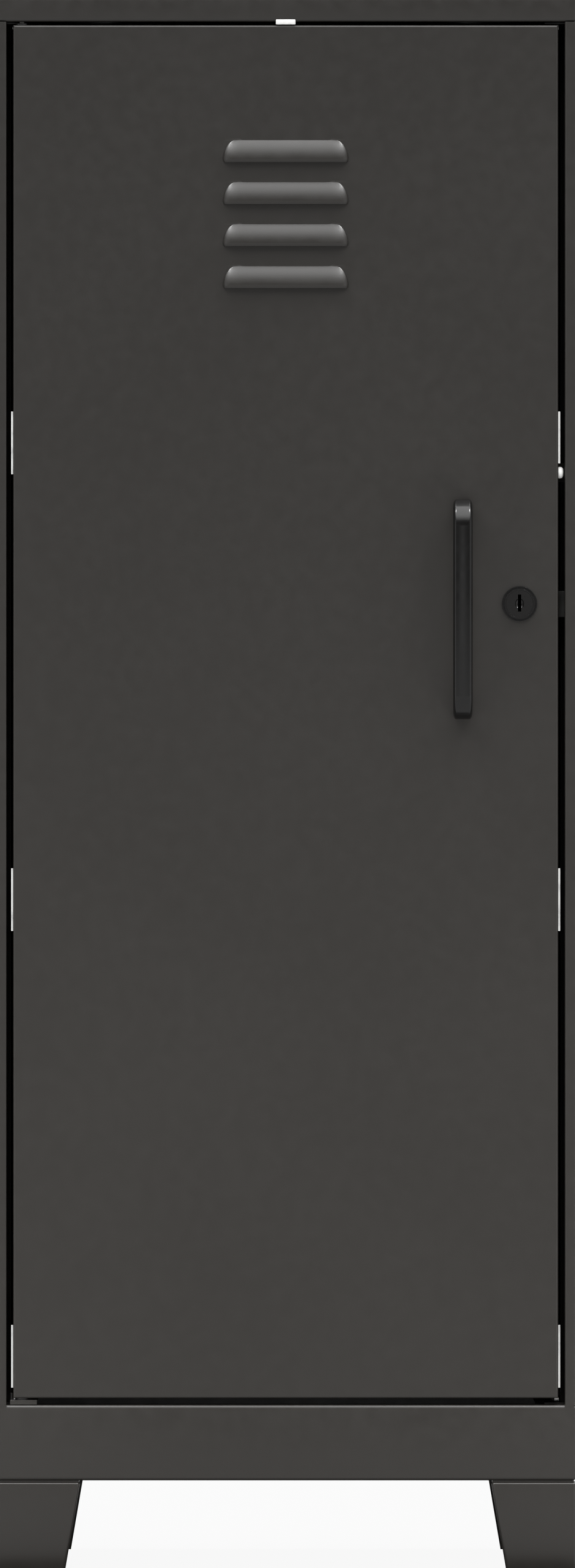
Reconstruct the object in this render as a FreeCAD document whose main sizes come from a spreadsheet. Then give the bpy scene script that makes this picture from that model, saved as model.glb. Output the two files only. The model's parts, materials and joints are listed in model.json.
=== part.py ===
import FreeCAD, Part
import os
import re
import Sketcher

# A one-door metal locker on four folded legs.
#
# The locker stands on z = 0 with its middle over the origin.  The door faces -Y, +X is to the right
# of someone who looks at the door, and +Z is up.  All sizes are millimetres.  The pieces are folded
# from sheet: a top panel, two side panels, a back panel and a base frame make the case, three shelves
# hang on plated hangers, and the door turns on two pins at its left edge.

# Driving sizes: the name of the cell, its value, and what it measures.
SIZE_ROWS = [
    ("cabinet_width", 370, "outside width of the case"),
    ("cabinet_depth", 400, "front of the door to the back of the case"),
    ("cabinet_height", 1000, "floor to the top of the case"),
    ("sheet_gauge", 0.8, "sheet of the case, the shelves and the door"),
    ("fold_radius", 1.2, "outside radius of the folds that show"),
    ("top_rail_height", 14.6, "height of the top panel's folded edge"),
    ("top_return", 34, "lip turned in under the top panel"),
    ("base_rail_height", 48.2, "height of the base frame"),
    ("base_return", 26, "lips turned in at the top and bottom of the base frame"),
    ("stile_width", 7.4, "front edge of a side panel, seen from the front"),
    ("stile_return", 15, "depth of the fold behind that edge"),
    ("back_flange", 16, "rear fold of a side panel"),
    ("seam_flange", 20, "folds at the top and bottom of a side panel"),
    ("seam_setback", 22, "front of the case to the start of those folds"),
    ("panel_fit", 0.3, "gap at each edge of the back panel"),
    ("rivet_radius", 1.6, "shank of a back panel rivet"),
    ("rivet_head_radius", 3.2, "head of a back panel rivet"),
    ("rivet_head", 1.2, "height of that head"),
    ("rivet_inset", 9, "rivets, in from the side of the case"),
    ("rivet_margin", 60, "first and last rivets, from the ends of the side panel"),
    ("anchor_spacing", 240, "between the two wall anchor holes"),
    ("anchor_drop", 40, "wall anchor holes, below the top of the back panel"),
    ("anchor_radius", 4, "wall anchor hole"),
    ("seam_screw_radius", 2.5, "screw that joins a side panel to the top or the base"),
    ("seam_head_radius", 4.5, "head of that screw"),
    ("seam_head", 2.6, "height of that head"),
    ("seam_nut_corner", 4.6, "corner radius of its nut"),
    ("seam_nut", 4, "height of its nut"),
    ("seam_screw_tail", 1.2, "end of the screw past its nut"),
    ("seam_screw_inset", 10.5, "those screws, in from the side of the case"),
    ("seam_screw_setback", 82, "those screws, from the front and the back of the case"),
    ("leg_height", 56.5, "floor to the base frame"),
    ("leg_gauge", 1.5, "sheet of the legs"),
    ("leg_top_width", 54.2, "width of a leg at the base frame"),
    ("leg_foot_width", 44.8, "width of a leg at the floor"),
    ("leg_return", 9, "depth of the fold along a leg's slanted edge"),
    ("leg_fold_radius", 2.2, "outside radius of a leg's folds"),
    ("leg_top_radius", 1.2, "rounding at the top of a leg's outside faces"),
    ("foot_plate", 24, "square plate that a leg stands on"),
    ("leg_bolt_radius", 3, "bolt that holds a leg"),
    ("leg_bolt_head_corner", 5.8, "corner radius of its head and its nut"),
    ("leg_bolt_head", 4, "height of its head"),
    ("leg_nut", 5, "height of its nut"),
    ("leg_bolt_tail", 1.5, "end of the bolt past its nut"),
    ("leg_bolt_edge", 13, "leg bolt, in from the nearer face of the leg"),
    ("leg_bolt_along", 38, "leg bolt, in from the other face of the leg"),
    ("upright_rise", 9.1, "slotted upright, out from the side wall"),
    ("upright_width", 22, "face of a slotted upright"),
    ("upright_gauge", 1, "sheet of a slotted upright"),
    ("upright_setback", 36, "uprights, from the front and the back of the case"),
    ("shelf_pitch", 291.5, "between one shelf and the next"),
    ("shelf_lift", 10, "top of the base frame to the lowest hangers"),
    ("shelf_height", 18, "folded edge of a shelf"),
    ("shelf_lip", 12, "lip turned in under a shelf"),
    ("shelf_fit", 0.4, "gap between a shelf and its hangers"),
    ("shelf_setback", 32, "front of the door to the front of a shelf"),
    ("shelf_back_gap", 2, "gap between a shelf and the back panel"),
    ("hanger_gauge", 1.6, "plate of a hanger"),
    ("hanger_height", 40, "height of a hanger"),
    ("hanger_width", 20, "width of a hanger, front to back"),
    ("hanger_foot", 16, "foot of a hanger under the shelf"),
    ("hook_width", 12, "width of a hanger's hook"),
    ("hook_drop", 8, "hook, down behind the face of the upright"),
    ("hook_below_top", 8, "top of the hook, below the top of the hanger"),
    ("hook_fit", 0.3, "gap between a hook and its slot, and behind the face"),
    ("door_side_gap", 4.2, "gap beside the door"),
    ("door_top_gap", 2.2, "gap above the door"),
    ("door_bottom_gap", 4.2, "gap below the door"),
    ("door_thickness", 18, "folded edge of the door"),
    ("door_lip", 14, "lip turned in at the back of the door"),
    ("pivot_inset", 5.4, "pivot, in from the left edge of the door"),
    ("pivot_depth", 6.5, "pivot, behind the face of the door"),
    ("pivot_pin_radius", 2, "pivot pins"),
    ("pivot_pin_reach", 8, "pivot pins, past the edge of the door"),
    ("pivot_fit", 0.05, "running fit of a pin in its bush, on the radius"),
    ("bush_radius", 3.5, "pivot bush, where it is pressed into the door"),
    ("bush_head_radius", 4.2, "head of a pivot bush"),
    ("bush_head", 1, "height of that head"),
    ("bush_length", 9, "pivot bush inside the door"),
    ("pin_head_radius", 4, "head of the top pivot pin, inside the top panel"),
    ("pin_head", 1.5, "height of that head"),
    ("bracket_gauge", 3, "bottom pivot plate"),
    ("bracket_width", 17, "width of the bottom pivot plate"),
    ("ear_gauge", 1.5, "ear turned up at the left end of that plate"),
    ("ear_width", 3, "width of the ear, front to back"),
    ("ear_height", 7.2, "top of the ear, above the base frame"),
    ("ear_gap", 0.4, "gap between the ear and the edge of the door"),
    ("louvre_width", 79.6, "width of a louvre at its lip"),
    ("louvre_rise", 14, "height of a louvre"),
    ("louvre_depth", 4.5, "how far a louvre's lip stands out"),
    ("louvre_end", 7, "rounding of a louvre's ends"),
    ("louvre_pitch", 26.75, "between one louvre and the next"),
    ("louvre_drop", 73.3, "top of the door to the top of the first louvre"),
    ("stiffener_half_width", 20, "half the web of the door stiffener"),
    ("stiffener_flange", 12, "flanges of the door stiffener"),
    ("stiffener_rise", 14, "depth of the door stiffener"),
    ("stiffener_lift", 40, "bottom of the door to the stiffener"),
    ("stiffener_gap", 25, "stiffener to the lowest louvre"),
    ("handle_length", 140, "length of the handle"),
    ("handle_width", 12.5, "width of the handle"),
    ("handle_gauge", 6.5, "thickness of the handle's bar"),
    ("handle_projection", 28, "face of the door to the front of the handle"),
    ("handle_bend", 16, "outside radius of the handle's bends"),
    ("handle_edge", 2.6, "rounding of the handle's long edges"),
    ("handle_inset", 60.8, "handle, in from the right edge of the door"),
    ("handle_height", 502.2, "middle of the handle, above the bottom of the door"),
    ("handle_screw_radius", 2, "handle screws"),
    ("handle_screw_head_radius", 4, "head of a handle screw"),
    ("handle_screw_head", 2.4, "height of that head"),
    ("handle_screw_reach", 14, "handle screws, into the handle"),
    ("lock_inset", 24.6, "lock, in from the right edge of the door"),
    ("lock_height", 505.8, "lock, above the bottom of the door"),
    ("bezel_radius", 11.2, "front ring of the lock"),
    ("bezel_rise", 3, "front ring, out from the door"),
    ("bezel_chamfer", 0.9, "slope at the edge of the front ring"),
    ("barrel_radius", 9, "body of the lock"),
    ("barrel_length", 19, "body of the lock, behind the face of the door"),
    ("plug_cap_radius", 8.7, "turning face of the lock"),
    ("plug_cap", 2, "thickness of that face"),
    ("plug_set_in", 0.5, "turning face, below the front ring"),
    ("plug_radius", 6, "turning core of the lock"),
    ("plug_fit", 0.06, "running fit of the core, on the radius"),
    ("cam_gap", 0.5, "play between the lock's body, the keeper and the cam"),
    ("keyhole_width", 2, "keyhole slot"),
    ("keyhole_length", 10.2, "keyhole slot, top to bottom"),
    ("keyhole_ear", 4.6, "width of the keyhole at its middle"),
    ("keyhole_ear_height", 1.6, "height of that wider stretch"),
    ("keyhole_depth", 7, "depth of the keyhole"),
    ("lock_nut_corner", 13.2, "corner radius of the lock's nut"),
    ("lock_nut", 4, "height of the lock's nut"),
    ("cam_gauge", 2, "plate of the cam"),
    ("cam_width", 14, "width of the cam"),
    ("cam_length", 30, "middle of the lock to the tip of the cam"),
    ("cam_hub", 8.5, "middle of the lock to the back end of the cam"),
    ("cam_corner", 5, "rounded corners of the cam"),
    ("tail_width", 8, "square end of the core that drives the cam"),
    ("cam_screw_radius", 2.5, "cam screw"),
    ("cam_screw_head_radius", 5.5, "head of the cam screw"),
    ("cam_screw_head", 2.4, "height of that head"),
    ("cam_screw_reach", 8, "cam screw, into the core"),
    ("keeper_gauge", 1.2, "plate of the keeper and of the stop bracket"),
    ("keeper_gap", 2.6, "back of the door to the keeper"),
    ("keeper_reach", 2, "keeper, in behind the edge of the door"),
    ("keeper_height", 16.8, "height of the keeper"),
    ("keeper_leg", 13, "fold of the keeper along the side wall"),
    ("stop_reach", 6.6, "stop bracket, in behind the edge of the door"),
    ("stop_height", 12.2, "height of the stop bracket"),
    ("stop_gap", 0.3, "gap between the stop bracket and the closed door"),
    ("bumper_radius", 3.7, "round bumper in the right edge of the door"),
    ("bumper_rise", 3.3, "that bumper, out from the edge of the door"),
    ("bumper_slope", 1.2, "slope at the rim of that bumper"),
    ("bumper_stem_radius", 2, "stem of that bumper"),
    ("bumper_setback", 5.4, "that bumper, behind the face of the door"),
    ("bumper_height", 589.4, "that bumper, above the bottom of the door"),
    ("bumper_tail", 1.6, "end of a bumper's stem past the sheet"),
    ("clip_width", 12.5, "clip bumper in the gap above the door"),
    ("clip_depth", 11, "that bumper, front to back"),
    ("clip_gap", 0.4, "gap between that bumper and the top of the door"),
    ("clip_lip", 0.8, "lip of that bumper, out from the front of the top panel"),
    ("clip_lip_rise", 1.4, "that lip, up over the edge of the top panel"),
    ("clip_stem_radius", 2.6, "stem of that bumper"),
]
SIZES = {name for name, value, note in SIZE_ROWS}

# Places and sizes that follow from the driving sizes.
PLACES = {
    "half_width": "cabinet_width / 2",
    "front_y": "handle_projection - (cabinet_depth + handle_projection + rivet_head) / 2",
    "base_top": "leg_height + base_rail_height",
    "panel_top": "cabinet_height - top_rail_height",
    "panel_height": "panel_top - base_top",
    "wall_x": "half_width - sheet_gauge",
    "back_panel_y": "front_y + cabinet_depth - 2 * sheet_gauge",
    "rivet_step": "(panel_height - 2 * rivet_margin) / 3",
    "rivet_x": "half_width - rivet_inset",
    "seam_x": "half_width - seam_screw_inset",
    "door_half": "half_width - stile_width - door_side_gap",
    "door_bottom": "base_top + door_bottom_gap",
    "door_top": "panel_top - door_top_gap",
    "door_height": "door_top - door_bottom",
    "door_back_y": "front_y + door_thickness",
    "pivot_x": "pivot_inset - door_half",
    "pivot_y": "front_y + pivot_depth",
    "upright_face": "wall_x - upright_rise",
    "hanger_face": "upright_face - hanger_gauge",
    "shelf_half": "hanger_face - shelf_fit",
    "shelf_depth": "back_panel_y - shelf_back_gap - front_y - shelf_setback",
    "hook_top": "hanger_height - hook_below_top",
    "louvre_axis": "(louvre_rise ^ 2 - louvre_depth ^ 2) / (2 * louvre_depth)",
    "louvre_radius": "louvre_axis + louvre_depth",
    "lowest_lip": "door_top - louvre_drop - louvre_rise - 3 * louvre_pitch",
    "handle_x": "door_half - handle_inset",
    "handle_z": "door_bottom + handle_height",
    "handle_screw_spread": "(handle_length - handle_gauge) / 2",
    "lock_x": "door_half - lock_inset",
    "lock_z": "door_bottom + lock_height",
    "keeper_y": "door_back_y + keeper_gap",
    "cam_y": "keeper_y + keeper_gauge + cam_gap",
    "bumper_z": "door_bottom + bumper_height",
    "clip_y": "front_y + clip_depth / 2",
}

RIVET_ROWS = 4
LOUVRES = 4
SHELVES = ("floor_shelf", "lower_shelf", "upper_shelf")

X_AXIS = FreeCAD.Vector(1, 0, 0)
Y_AXIS = FreeCAD.Vector(0, 1, 0)
Z_AXIS = FreeCAD.Vector(0, 0, 1)
UPRIGHT = FreeCAD.Rotation()
UPSIDE_DOWN = FreeCAD.Rotation(X_AXIS, 180)
POINTS_BACK = FreeCAD.Rotation(X_AXIS, -90)
POINTS_FRONT = FreeCAD.Rotation(X_AXIS, 90)
POINTS_RIGHT = FreeCAD.Rotation(Y_AXIS, 90)

doc = FreeCAD.newDocument("metal_locker")
sheet = doc.addObject("Spreadsheet::Sheet", "Sizes")
for row, (name, value, note) in enumerate(SIZE_ROWS, start=1):
    sheet.set(f"A{row}", note)
    sheet.set(f"B{row}", str(value))
    sheet.setAlias(f"B{row}", name)
doc.recompute()

sub_parts = []


def formula(words):
    """Spells out a rule in plain names as a rule on the cells of the sheet."""

    def spell(match):
        word = match[0]
        if word in PLACES:
            return f"({formula(PLACES[word])})"
        if word in SIZES:
            return f"Sizes.{word}"
        return word

    return re.sub(r"[a-z_]+", spell, words)


def bind(thing, prop, words):
    thing.setExpression(prop, formula(words))


def place(thing, x, y, z, turn=UPRIGHT):
    """Turns a piece and ties its place to the sheet."""
    thing.Placement = FreeCAD.Placement(FreeCAD.Vector(0, 0, 0), turn)
    for axis, words in (("x", x), ("y", y), ("z", z)):
        bind(thing, f"Placement.Base.{axis}", words)
    return thing


def sub_part(thing, label):
    """Marks an object as one piece of the locker."""
    thing.Label = label
    sub_parts.append(thing)
    return thing


def new_body(name):
    return doc.addObject("PartDesign::Body", name)


def sketch_on(body, role, offset="0"):
    """Starts a sketch on one of the body's own planes, moved along that plane's normal."""
    plane = [item for item in body.Origin.OriginFeatures if item.Role == role][0]
    sketch = body.newObject("Sketcher::SketchObject", f"{body.Name}_sketch")
    sketch.AttachmentSupport = (plane, [""])
    sketch.MapMode = "FlatFace"
    bind(sketch, "AttachmentOffset.Base.z", offset)
    return sketch


def pin_point(sketch, geometry, point, x, y):
    """Ties one point of a sketch to two rules."""
    here = sketch.getPoint(geometry, point)
    for word, start, words in (("DistanceX", here.x, x), ("DistanceY", here.y, y)):
        index = sketch.addConstraint(Sketcher.Constraint(word, geometry, point, start))
        bind(sketch, f"Constraints[{index}]", words)


def polygon(sketch, corners):
    """Draws a closed outline through corners that are given as rules."""
    first = sketch.GeometryCount
    count = len(corners)
    start = [FreeCAD.Rotation(Z_AXIS, 360 * i / count).multVec(X_AXIS) for i in range(count)]
    for i in range(count):
        sketch.addGeometry(Part.LineSegment(start[i], start[(i + 1) % count]))
    for i in range(count):
        after = first + (i + 1) % count
        sketch.addConstraint(Sketcher.Constraint("Coincident", first + i, 2, after, 1))
    for i, (x, y) in enumerate(corners):
        pin_point(sketch, first + i, 1, x, y)


def rectangle(sketch, left, low, right, high):
    polygon(sketch, [(left, low), (right, low), (right, high), (left, high)])


def centred_rectangle(sketch, width, height, inset="0"):
    across = f"({width}) / 2 - ({inset})"
    upward = f"({height}) / 2 - ({inset})"
    rectangle(sketch, f"-({across})", f"-({upward})", across, upward)


def circle(sketch, x, y, radius):
    index = sketch.addGeometry(Part.Circle(FreeCAD.Vector(0, 0, 0), Z_AXIS, 1))
    pin_point(sketch, index, 3, x, y)
    size = sketch.addConstraint(Sketcher.Constraint("Radius", index, 1))
    bind(sketch, f"Constraints[{size}]", radius)


def pad(body, sketch, length, backwards=False):
    feature = body.newObject("PartDesign::Pad", f"{body.Name}_pad")
    feature.Profile = sketch
    feature.Reversed = backwards
    bind(feature, "Length", length)
    return feature


def pocket(body, sketch, length, backwards=False):
    """Cuts a sketch into a body, and makes sure that something was cut."""
    doc.recompute()
    before = body.Shape.Volume
    feature = body.newObject("PartDesign::Pocket", f"{body.Name}_pocket")
    feature.Profile = sketch
    feature.Reversed = backwards
    bind(feature, "Length", length)
    doc.recompute()
    if body.Shape.Volume >= before:
        raise ValueError(f"a pocket in {body.Name} cut nothing")
    return feature


def drill(body, role, offset, length, spots, radius, backwards=False):
    """Cuts round holes of one size at several spots."""
    sketch = sketch_on(body, role, offset)
    for x, y in spots:
        circle(sketch, x, y, radius)
    return pocket(body, sketch, length, backwards)


def corner_box(shape):
    """The box round the corner points of a shape, which curved faces don't blur."""
    box = FreeCAD.BoundBox()
    for vertex in shape.Vertexes:
        box.add(vertex.Point)
    return box


def round_edges(body, radius, wanted):
    """Rounds the edges of a body that the wanted test picks out by their box and the body's box."""
    doc.recompute()
    whole = corner_box(body.Shape)
    names = []
    for number, edge in enumerate(body.Shape.Edges, start=1):
        if wanted(edge, corner_box(edge), whole):
            names.append(f"Edge{number}")
    if not names:
        raise ValueError(f"no edge of {body.Name} to round")
    solid = body.Tip
    feature = body.newObject("PartDesign::Fillet", f"{body.Name}_rounding")
    feature.Base = (solid, names)
    bind(feature, "Radius", radius)
    doc.recompute()
    return feature


def close(one, other):
    return abs(one - other) < 1e-4


def turned(name, profile):
    """A piece turned on a lathe: corners of its half section as radius and height, about its own Z."""
    body = new_body(name)
    sketch = sketch_on(body, "XZ_Plane")
    polygon(sketch, profile)
    feature = body.newObject("PartDesign::Revolution", f"{name}_turning")
    feature.Profile = sketch
    feature.ReferenceAxis = (sketch, ["V_Axis"])
    feature.Angle = 360
    return body


def group(label, master, spots):
    """Copies of one piece at several places, kept together as separate solids."""
    copies = []
    for x, y, z, turn in spots:
        copy = doc.addObject("App::Link", f"{label}_copy")
        copy.LinkedObject = master
        copies.append(place(copy, x, y, z, turn))
    gathered = doc.addObject("Part::Compound", label)
    gathered.Links = copies
    return sub_part(gathered, label)


def primitive(kind, name, **sizes):
    thing = doc.addObject(kind, name)
    for prop, words in sizes.items():
        bind(thing, prop, words)
    return thing


def joined(name, base, tool, kind="Part::Fuse"):
    thing = doc.addObject(kind, name)
    thing.Base = base
    thing.Tool = tool
    return thing


def hexagon(name, corner, height):
    thing = primitive("Part::Prism", name, Circumradius=corner, Height=height)
    thing.Polygon = 6
    return thing


def hex_nut(name, corner, height, bore):
    """A six-sided nut that stands on its own z = 0."""
    blank = hexagon(f"{name}_blank", corner, height)
    hole = primitive("Part::Cylinder", f"{name}_hole", Radius=bore, Height=height)
    return joined(name, blank, hole, "Part::Cut")


def pan_screw(name, radius, length, head_radius, head):
    """A round-headed screw: its head is above its own z = 0 and its shank below."""
    shoulder = f"({head_radius}) - ({head}) * 0.4"
    return turned(name, [
        ("0", f"-({length})"),
        (radius, f"-({length})"),
        (radius, "0"),
        (head_radius, "0"),
        (head_radius, f"({head}) * 0.6"),
        (shoulder, head),
        ("0", head),
    ])


def folded_ring(body, role, sense, start, thickness, width, height, inset):
    """A flat or upstanding ring of sheet along the edges of a rectangle."""
    sketch = sketch_on(body, role, f"{sense} * ({start})")
    centred_rectangle(sketch, width, height)
    centred_rectangle(sketch, width, height, inset)
    pad(body, sketch, thickness, sense < 0)


def folded_pan(name, role, sense, width, height, depth, lip):
    """A sheet with its four edges folded over and a lip turned in, growing along the plane's normal."""
    body = new_body(name)
    skin = sketch_on(body, role)
    centred_rectangle(skin, width, height)
    pad(body, skin, "sheet_gauge", sense < 0)
    folded_ring(body, role, sense, "0", depth, width, height, "sheet_gauge")
    folded_ring(body, role, sense, f"{depth} - sheet_gauge", "sheet_gauge", width, height, lip)
    return body


def upright_corner(edge, box, whole):
    """Upright edges at the outside corners of a piece."""
    at_side = close(box.XMin, whole.XMin) or close(box.XMin, whole.XMax)
    at_end = close(box.YMin, whole.YMin) or close(box.YMin, whole.YMax)
    return at_side and at_end and box.XLength < 1e-4 and box.YLength < 1e-4


def make_top_panel():
    body = folded_pan("top_panel", "XY_Plane", -1, "cabinet_width", "cabinet_depth",
                      "top_rail_height", "top_return")

    def shows(edge, box, whole):
        on_rim = close(box.ZMin, whole.ZMax) and close(box.ZMax, whole.ZMax)
        return on_rim or upright_corner(edge, box, whole)

    round_edges(body, "fold_radius", shows)
    middle = "front_y + cabinet_depth / 2"
    lip_level = "top_rail_height + sheet_gauge"
    drill(body, "XY_Plane", f"-({lip_level})", "3 * sheet_gauge",
          [("pivot_x", f"pivot_y - ({middle})")], "pivot_pin_radius", True)
    drill(body, "XY_Plane", f"-({lip_level})", "3 * sheet_gauge",
          [("0", f"clip_y - ({middle})")], "clip_stem_radius", True)
    spots = []
    for side in (-1, 1):
        for end in (-1, 1):
            spots.append((f"{side} * seam_x", f"{end} * (cabinet_depth / 2 - seam_screw_setback)"))
    drill(body, "XY_Plane", f"-({lip_level})", "3 * sheet_gauge", spots, "seam_screw_radius", True)
    place(body, "0", middle, "cabinet_height")
    sub_part(body, "top_panel")


def make_base_frame():
    body = new_body("base_frame")
    outline = ("cabinet_width", "cabinet_depth")
    folded_ring(body, "XY_Plane", 1, "0", "base_rail_height", *outline, "sheet_gauge")
    folded_ring(body, "XY_Plane", 1, "0", "sheet_gauge", *outline, "base_return")
    folded_ring(body, "XY_Plane", 1, "base_rail_height - sheet_gauge", "sheet_gauge", *outline,
                "base_return")

    def shows(edge, box, whole):
        level = close(box.ZMin, box.ZMax)
        at_rim = close(box.ZMin, whole.ZMin) or close(box.ZMin, whole.ZMax)
        along_side = close(box.XMin, whole.XMin) or close(box.XMax, whole.XMax)
        along_end = close(box.YMin, whole.YMin) or close(box.YMax, whole.YMax)
        return (level and at_rim and (along_side or along_end)) or upright_corner(edge, box, whole)

    round_edges(body, "fold_radius", shows)
    seam_spots = []
    leg_spots = []
    for side in (-1, 1):
        for end in (-1, 1):
            seam_spots.append((f"{side} * seam_x", f"{end} * (cabinet_depth / 2 - seam_screw_setback)"))
            for across, along in (("leg_bolt_edge", "leg_bolt_along"), ("leg_bolt_along", "leg_bolt_edge")):
                leg_spots.append((f"{side} * (half_width - {across})",
                                  f"{end} * (cabinet_depth / 2 - {along})"))
    drill(body, "XY_Plane", "base_rail_height + sheet_gauge", "3 * sheet_gauge", seam_spots,
          "seam_screw_radius")
    drill(body, "XY_Plane", "2 * sheet_gauge", "3 * sheet_gauge", leg_spots, "leg_bolt_radius")
    place(body, "0", "front_y + cabinet_depth / 2", "leg_height")
    sub_part(body, "base_frame")


def make_side_panel(label, side):
    """A side wall with the front stile folded on it; side is -1 on the left and 1 on the right."""
    body = new_body(label)
    section = sketch_on(body, "XY_Plane")
    inner_stile = "half_width - stile_width"
    corners = [
        ("half_width", "0"),
        ("half_width", "cabinet_depth"),
        ("half_width - back_flange", "cabinet_depth"),
        ("half_width - back_flange", "cabinet_depth - sheet_gauge"),
        ("wall_x", "cabinet_depth - sheet_gauge"),
        ("wall_x", "sheet_gauge"),
        (f"{inner_stile} + sheet_gauge", "sheet_gauge"),
        (f"{inner_stile} + sheet_gauge", "stile_return"),
        (inner_stile, "stile_return"),
        (inner_stile, "0"),
    ]
    polygon(section, [(f"{side} * ({x})", y) for x, y in corners])
    pad(body, section, "panel_height")

    def shows(edge, box, whole):
        along_front = close(box.YMin, whole.YMin) and close(box.YMax, whole.YMin)
        return along_front and box.XLength < 1e-4

    round_edges(body, "fold_radius", shows)
    for start in ("0", "panel_height - sheet_gauge"):
        flange = sketch_on(body, "XY_Plane", start)
        rectangle(flange, f"{side} * wall_x", "seam_setback",
                  f"{side} * (half_width - seam_flange)", "cabinet_depth - 2 * sheet_gauge - panel_fit")
        pad(body, flange, "sheet_gauge")
    rows = [(f"{side} * rivet_x", f"rivet_margin + {i} * rivet_step") for i in range(RIVET_ROWS)]
    drill(body, "XZ_Plane", "-(cabinet_depth + sheet_gauge)", "3 * sheet_gauge", rows, "rivet_radius", True)
    seam_spots = [(f"{side} * seam_x", "seam_screw_setback"),
                  (f"{side} * seam_x", "cabinet_depth - seam_screw_setback")]
    drill(body, "XY_Plane", "2 * sheet_gauge", "3 * sheet_gauge", seam_spots, "seam_screw_radius")
    drill(body, "XY_Plane", "panel_height + sheet_gauge", "3 * sheet_gauge", seam_spots, "seam_screw_radius")
    place(body, "0", "front_y", "base_top")
    sub_part(body, label)


def make_back_panel():
    body = new_body("back_panel")
    outline = sketch_on(body, "XZ_Plane")
    rectangle(outline, "panel_fit - wall_x", "0", "wall_x - panel_fit", "panel_height")
    for side in (-1, 1):
        for i in range(RIVET_ROWS):
            circle(outline, f"{side} * rivet_x", f"rivet_margin + {i} * rivet_step", "rivet_radius")
        circle(outline, f"{side} * anchor_spacing / 2", "panel_height - anchor_drop", "anchor_radius")
    pad(body, outline, "sheet_gauge", True)
    place(body, "0", "back_panel_y", "base_top")
    sub_part(body, "back_panel")

    rivet = turned("rivet", [
        ("0", "-2 * sheet_gauge - rivet_head"),
        ("rivet_head_radius * 0.8", "-2 * sheet_gauge - rivet_head"),
        ("rivet_head_radius * 0.8", "-2 * sheet_gauge"),
        ("rivet_radius", "-2 * sheet_gauge"),
        ("rivet_radius", "0"),
        ("rivet_head_radius", "0"),
        ("rivet_head_radius * 0.6", "rivet_head"),
        ("0", "rivet_head"),
    ])
    spots = []
    for side in (-1, 1):
        for i in range(RIVET_ROWS):
            spots.append((f"{side} * rivet_x", "front_y + cabinet_depth",
                          f"base_top + rivet_margin + {i} * rivet_step", POINTS_BACK))
    group("back_panel_rivets", rivet, spots)


def make_seam_fasteners():
    """Screws and nuts that join the side panels to the top panel and to the base frame."""
    reach = "2 * sheet_gauge + seam_nut + seam_screw_tail"
    screw = pan_screw("seam_screw", "seam_screw_radius", reach, "seam_head_radius", "seam_head")
    nut = hex_nut("seam_nut_blank", "seam_nut_corner", "seam_nut", "seam_screw_radius")
    heads = []
    nuts = []
    for side in (-1, 1):
        for y in ("front_y + seam_screw_setback", "front_y + cabinet_depth - seam_screw_setback"):
            x = f"{side} * seam_x"
            heads.append((x, y, "base_top + sheet_gauge", UPRIGHT))
            heads.append((x, y, "panel_top - sheet_gauge", UPSIDE_DOWN))
            nuts.append((x, y, "base_top - sheet_gauge - seam_nut", UPRIGHT))
            nuts.append((x, y, "panel_top + sheet_gauge", UPRIGHT))
    group("seam_screws", screw, heads)
    group("seam_nuts", nut, nuts)


def make_leg(label, x, y, quarter_turns):
    """A folded corner leg that narrows to the floor; its outside corner is on its own Z axis."""
    body = new_body(label)
    plan = sketch_on(body, "XY_Plane")
    polygon(plan, [
        ("0", "0"),
        ("leg_top_width", "0"),
        ("leg_top_width", "leg_gauge"),
        ("leg_gauge", "leg_gauge"),
        ("leg_gauge", "leg_top_width"),
        ("0", "leg_top_width"),
    ])
    pad(body, plan, "leg_height")
    front_waste = sketch_on(body, "XZ_Plane")
    polygon(front_waste, [("leg_foot_width", "0"), ("leg_top_width", "0"), ("leg_top_width", "leg_height")])
    pocket(body, front_waste, "leg_gauge")
    side_waste = sketch_on(body, "YZ_Plane")
    polygon(side_waste, [("leg_foot_width", "0"), ("leg_top_width", "0"), ("leg_top_width", "leg_height")])
    pocket(body, side_waste, "leg_gauge", True)
    slanted = [
        ("leg_foot_width - leg_gauge", "0"),
        ("leg_foot_width", "0"),
        ("leg_top_width", "leg_height"),
        ("leg_top_width - leg_gauge", "leg_height"),
    ]
    for role, backwards in (("XZ_Plane", True), ("YZ_Plane", False)):
        fold = sketch_on(body, role)
        polygon(fold, slanted)
        pad(body, fold, "leg_return", backwards)
    for start, width in (("0", "foot_plate"), ("leg_height - leg_gauge", "leg_top_width - leg_gauge")):
        plate = sketch_on(body, "XY_Plane", start)
        rectangle(plate, "0", "0", width, width)
        pad(body, plate, "leg_gauge")

    def folds(edge, box, whole):
        length = box.ZMax - box.ZMin
        tall = close(box.ZMin, whole.ZMin) and close(box.ZMax, whole.ZMax)
        on_face = close(box.XMax, whole.XMin) or close(box.YMax, whole.YMin)
        return tall and on_face and length > 0

    def top_edges(edge, box, whole):
        level = close(box.ZMin, whole.ZMax) and close(box.ZMax, whole.ZMax)
        return level and (close(box.XMin, whole.XMin) or close(box.YMin, whole.YMin))

    round_edges(body, "leg_fold_radius", folds)
    round_edges(body, "leg_top_radius", top_edges)
    drill(body, "XY_Plane", "leg_height + leg_gauge", "3 * leg_gauge",
          [("leg_bolt_along", "leg_bolt_edge"), ("leg_bolt_edge", "leg_bolt_along")], "leg_bolt_radius")
    place(body, x, y, "0", FreeCAD.Rotation(Z_AXIS, 90 * quarter_turns))
    sub_part(body, label)


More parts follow.
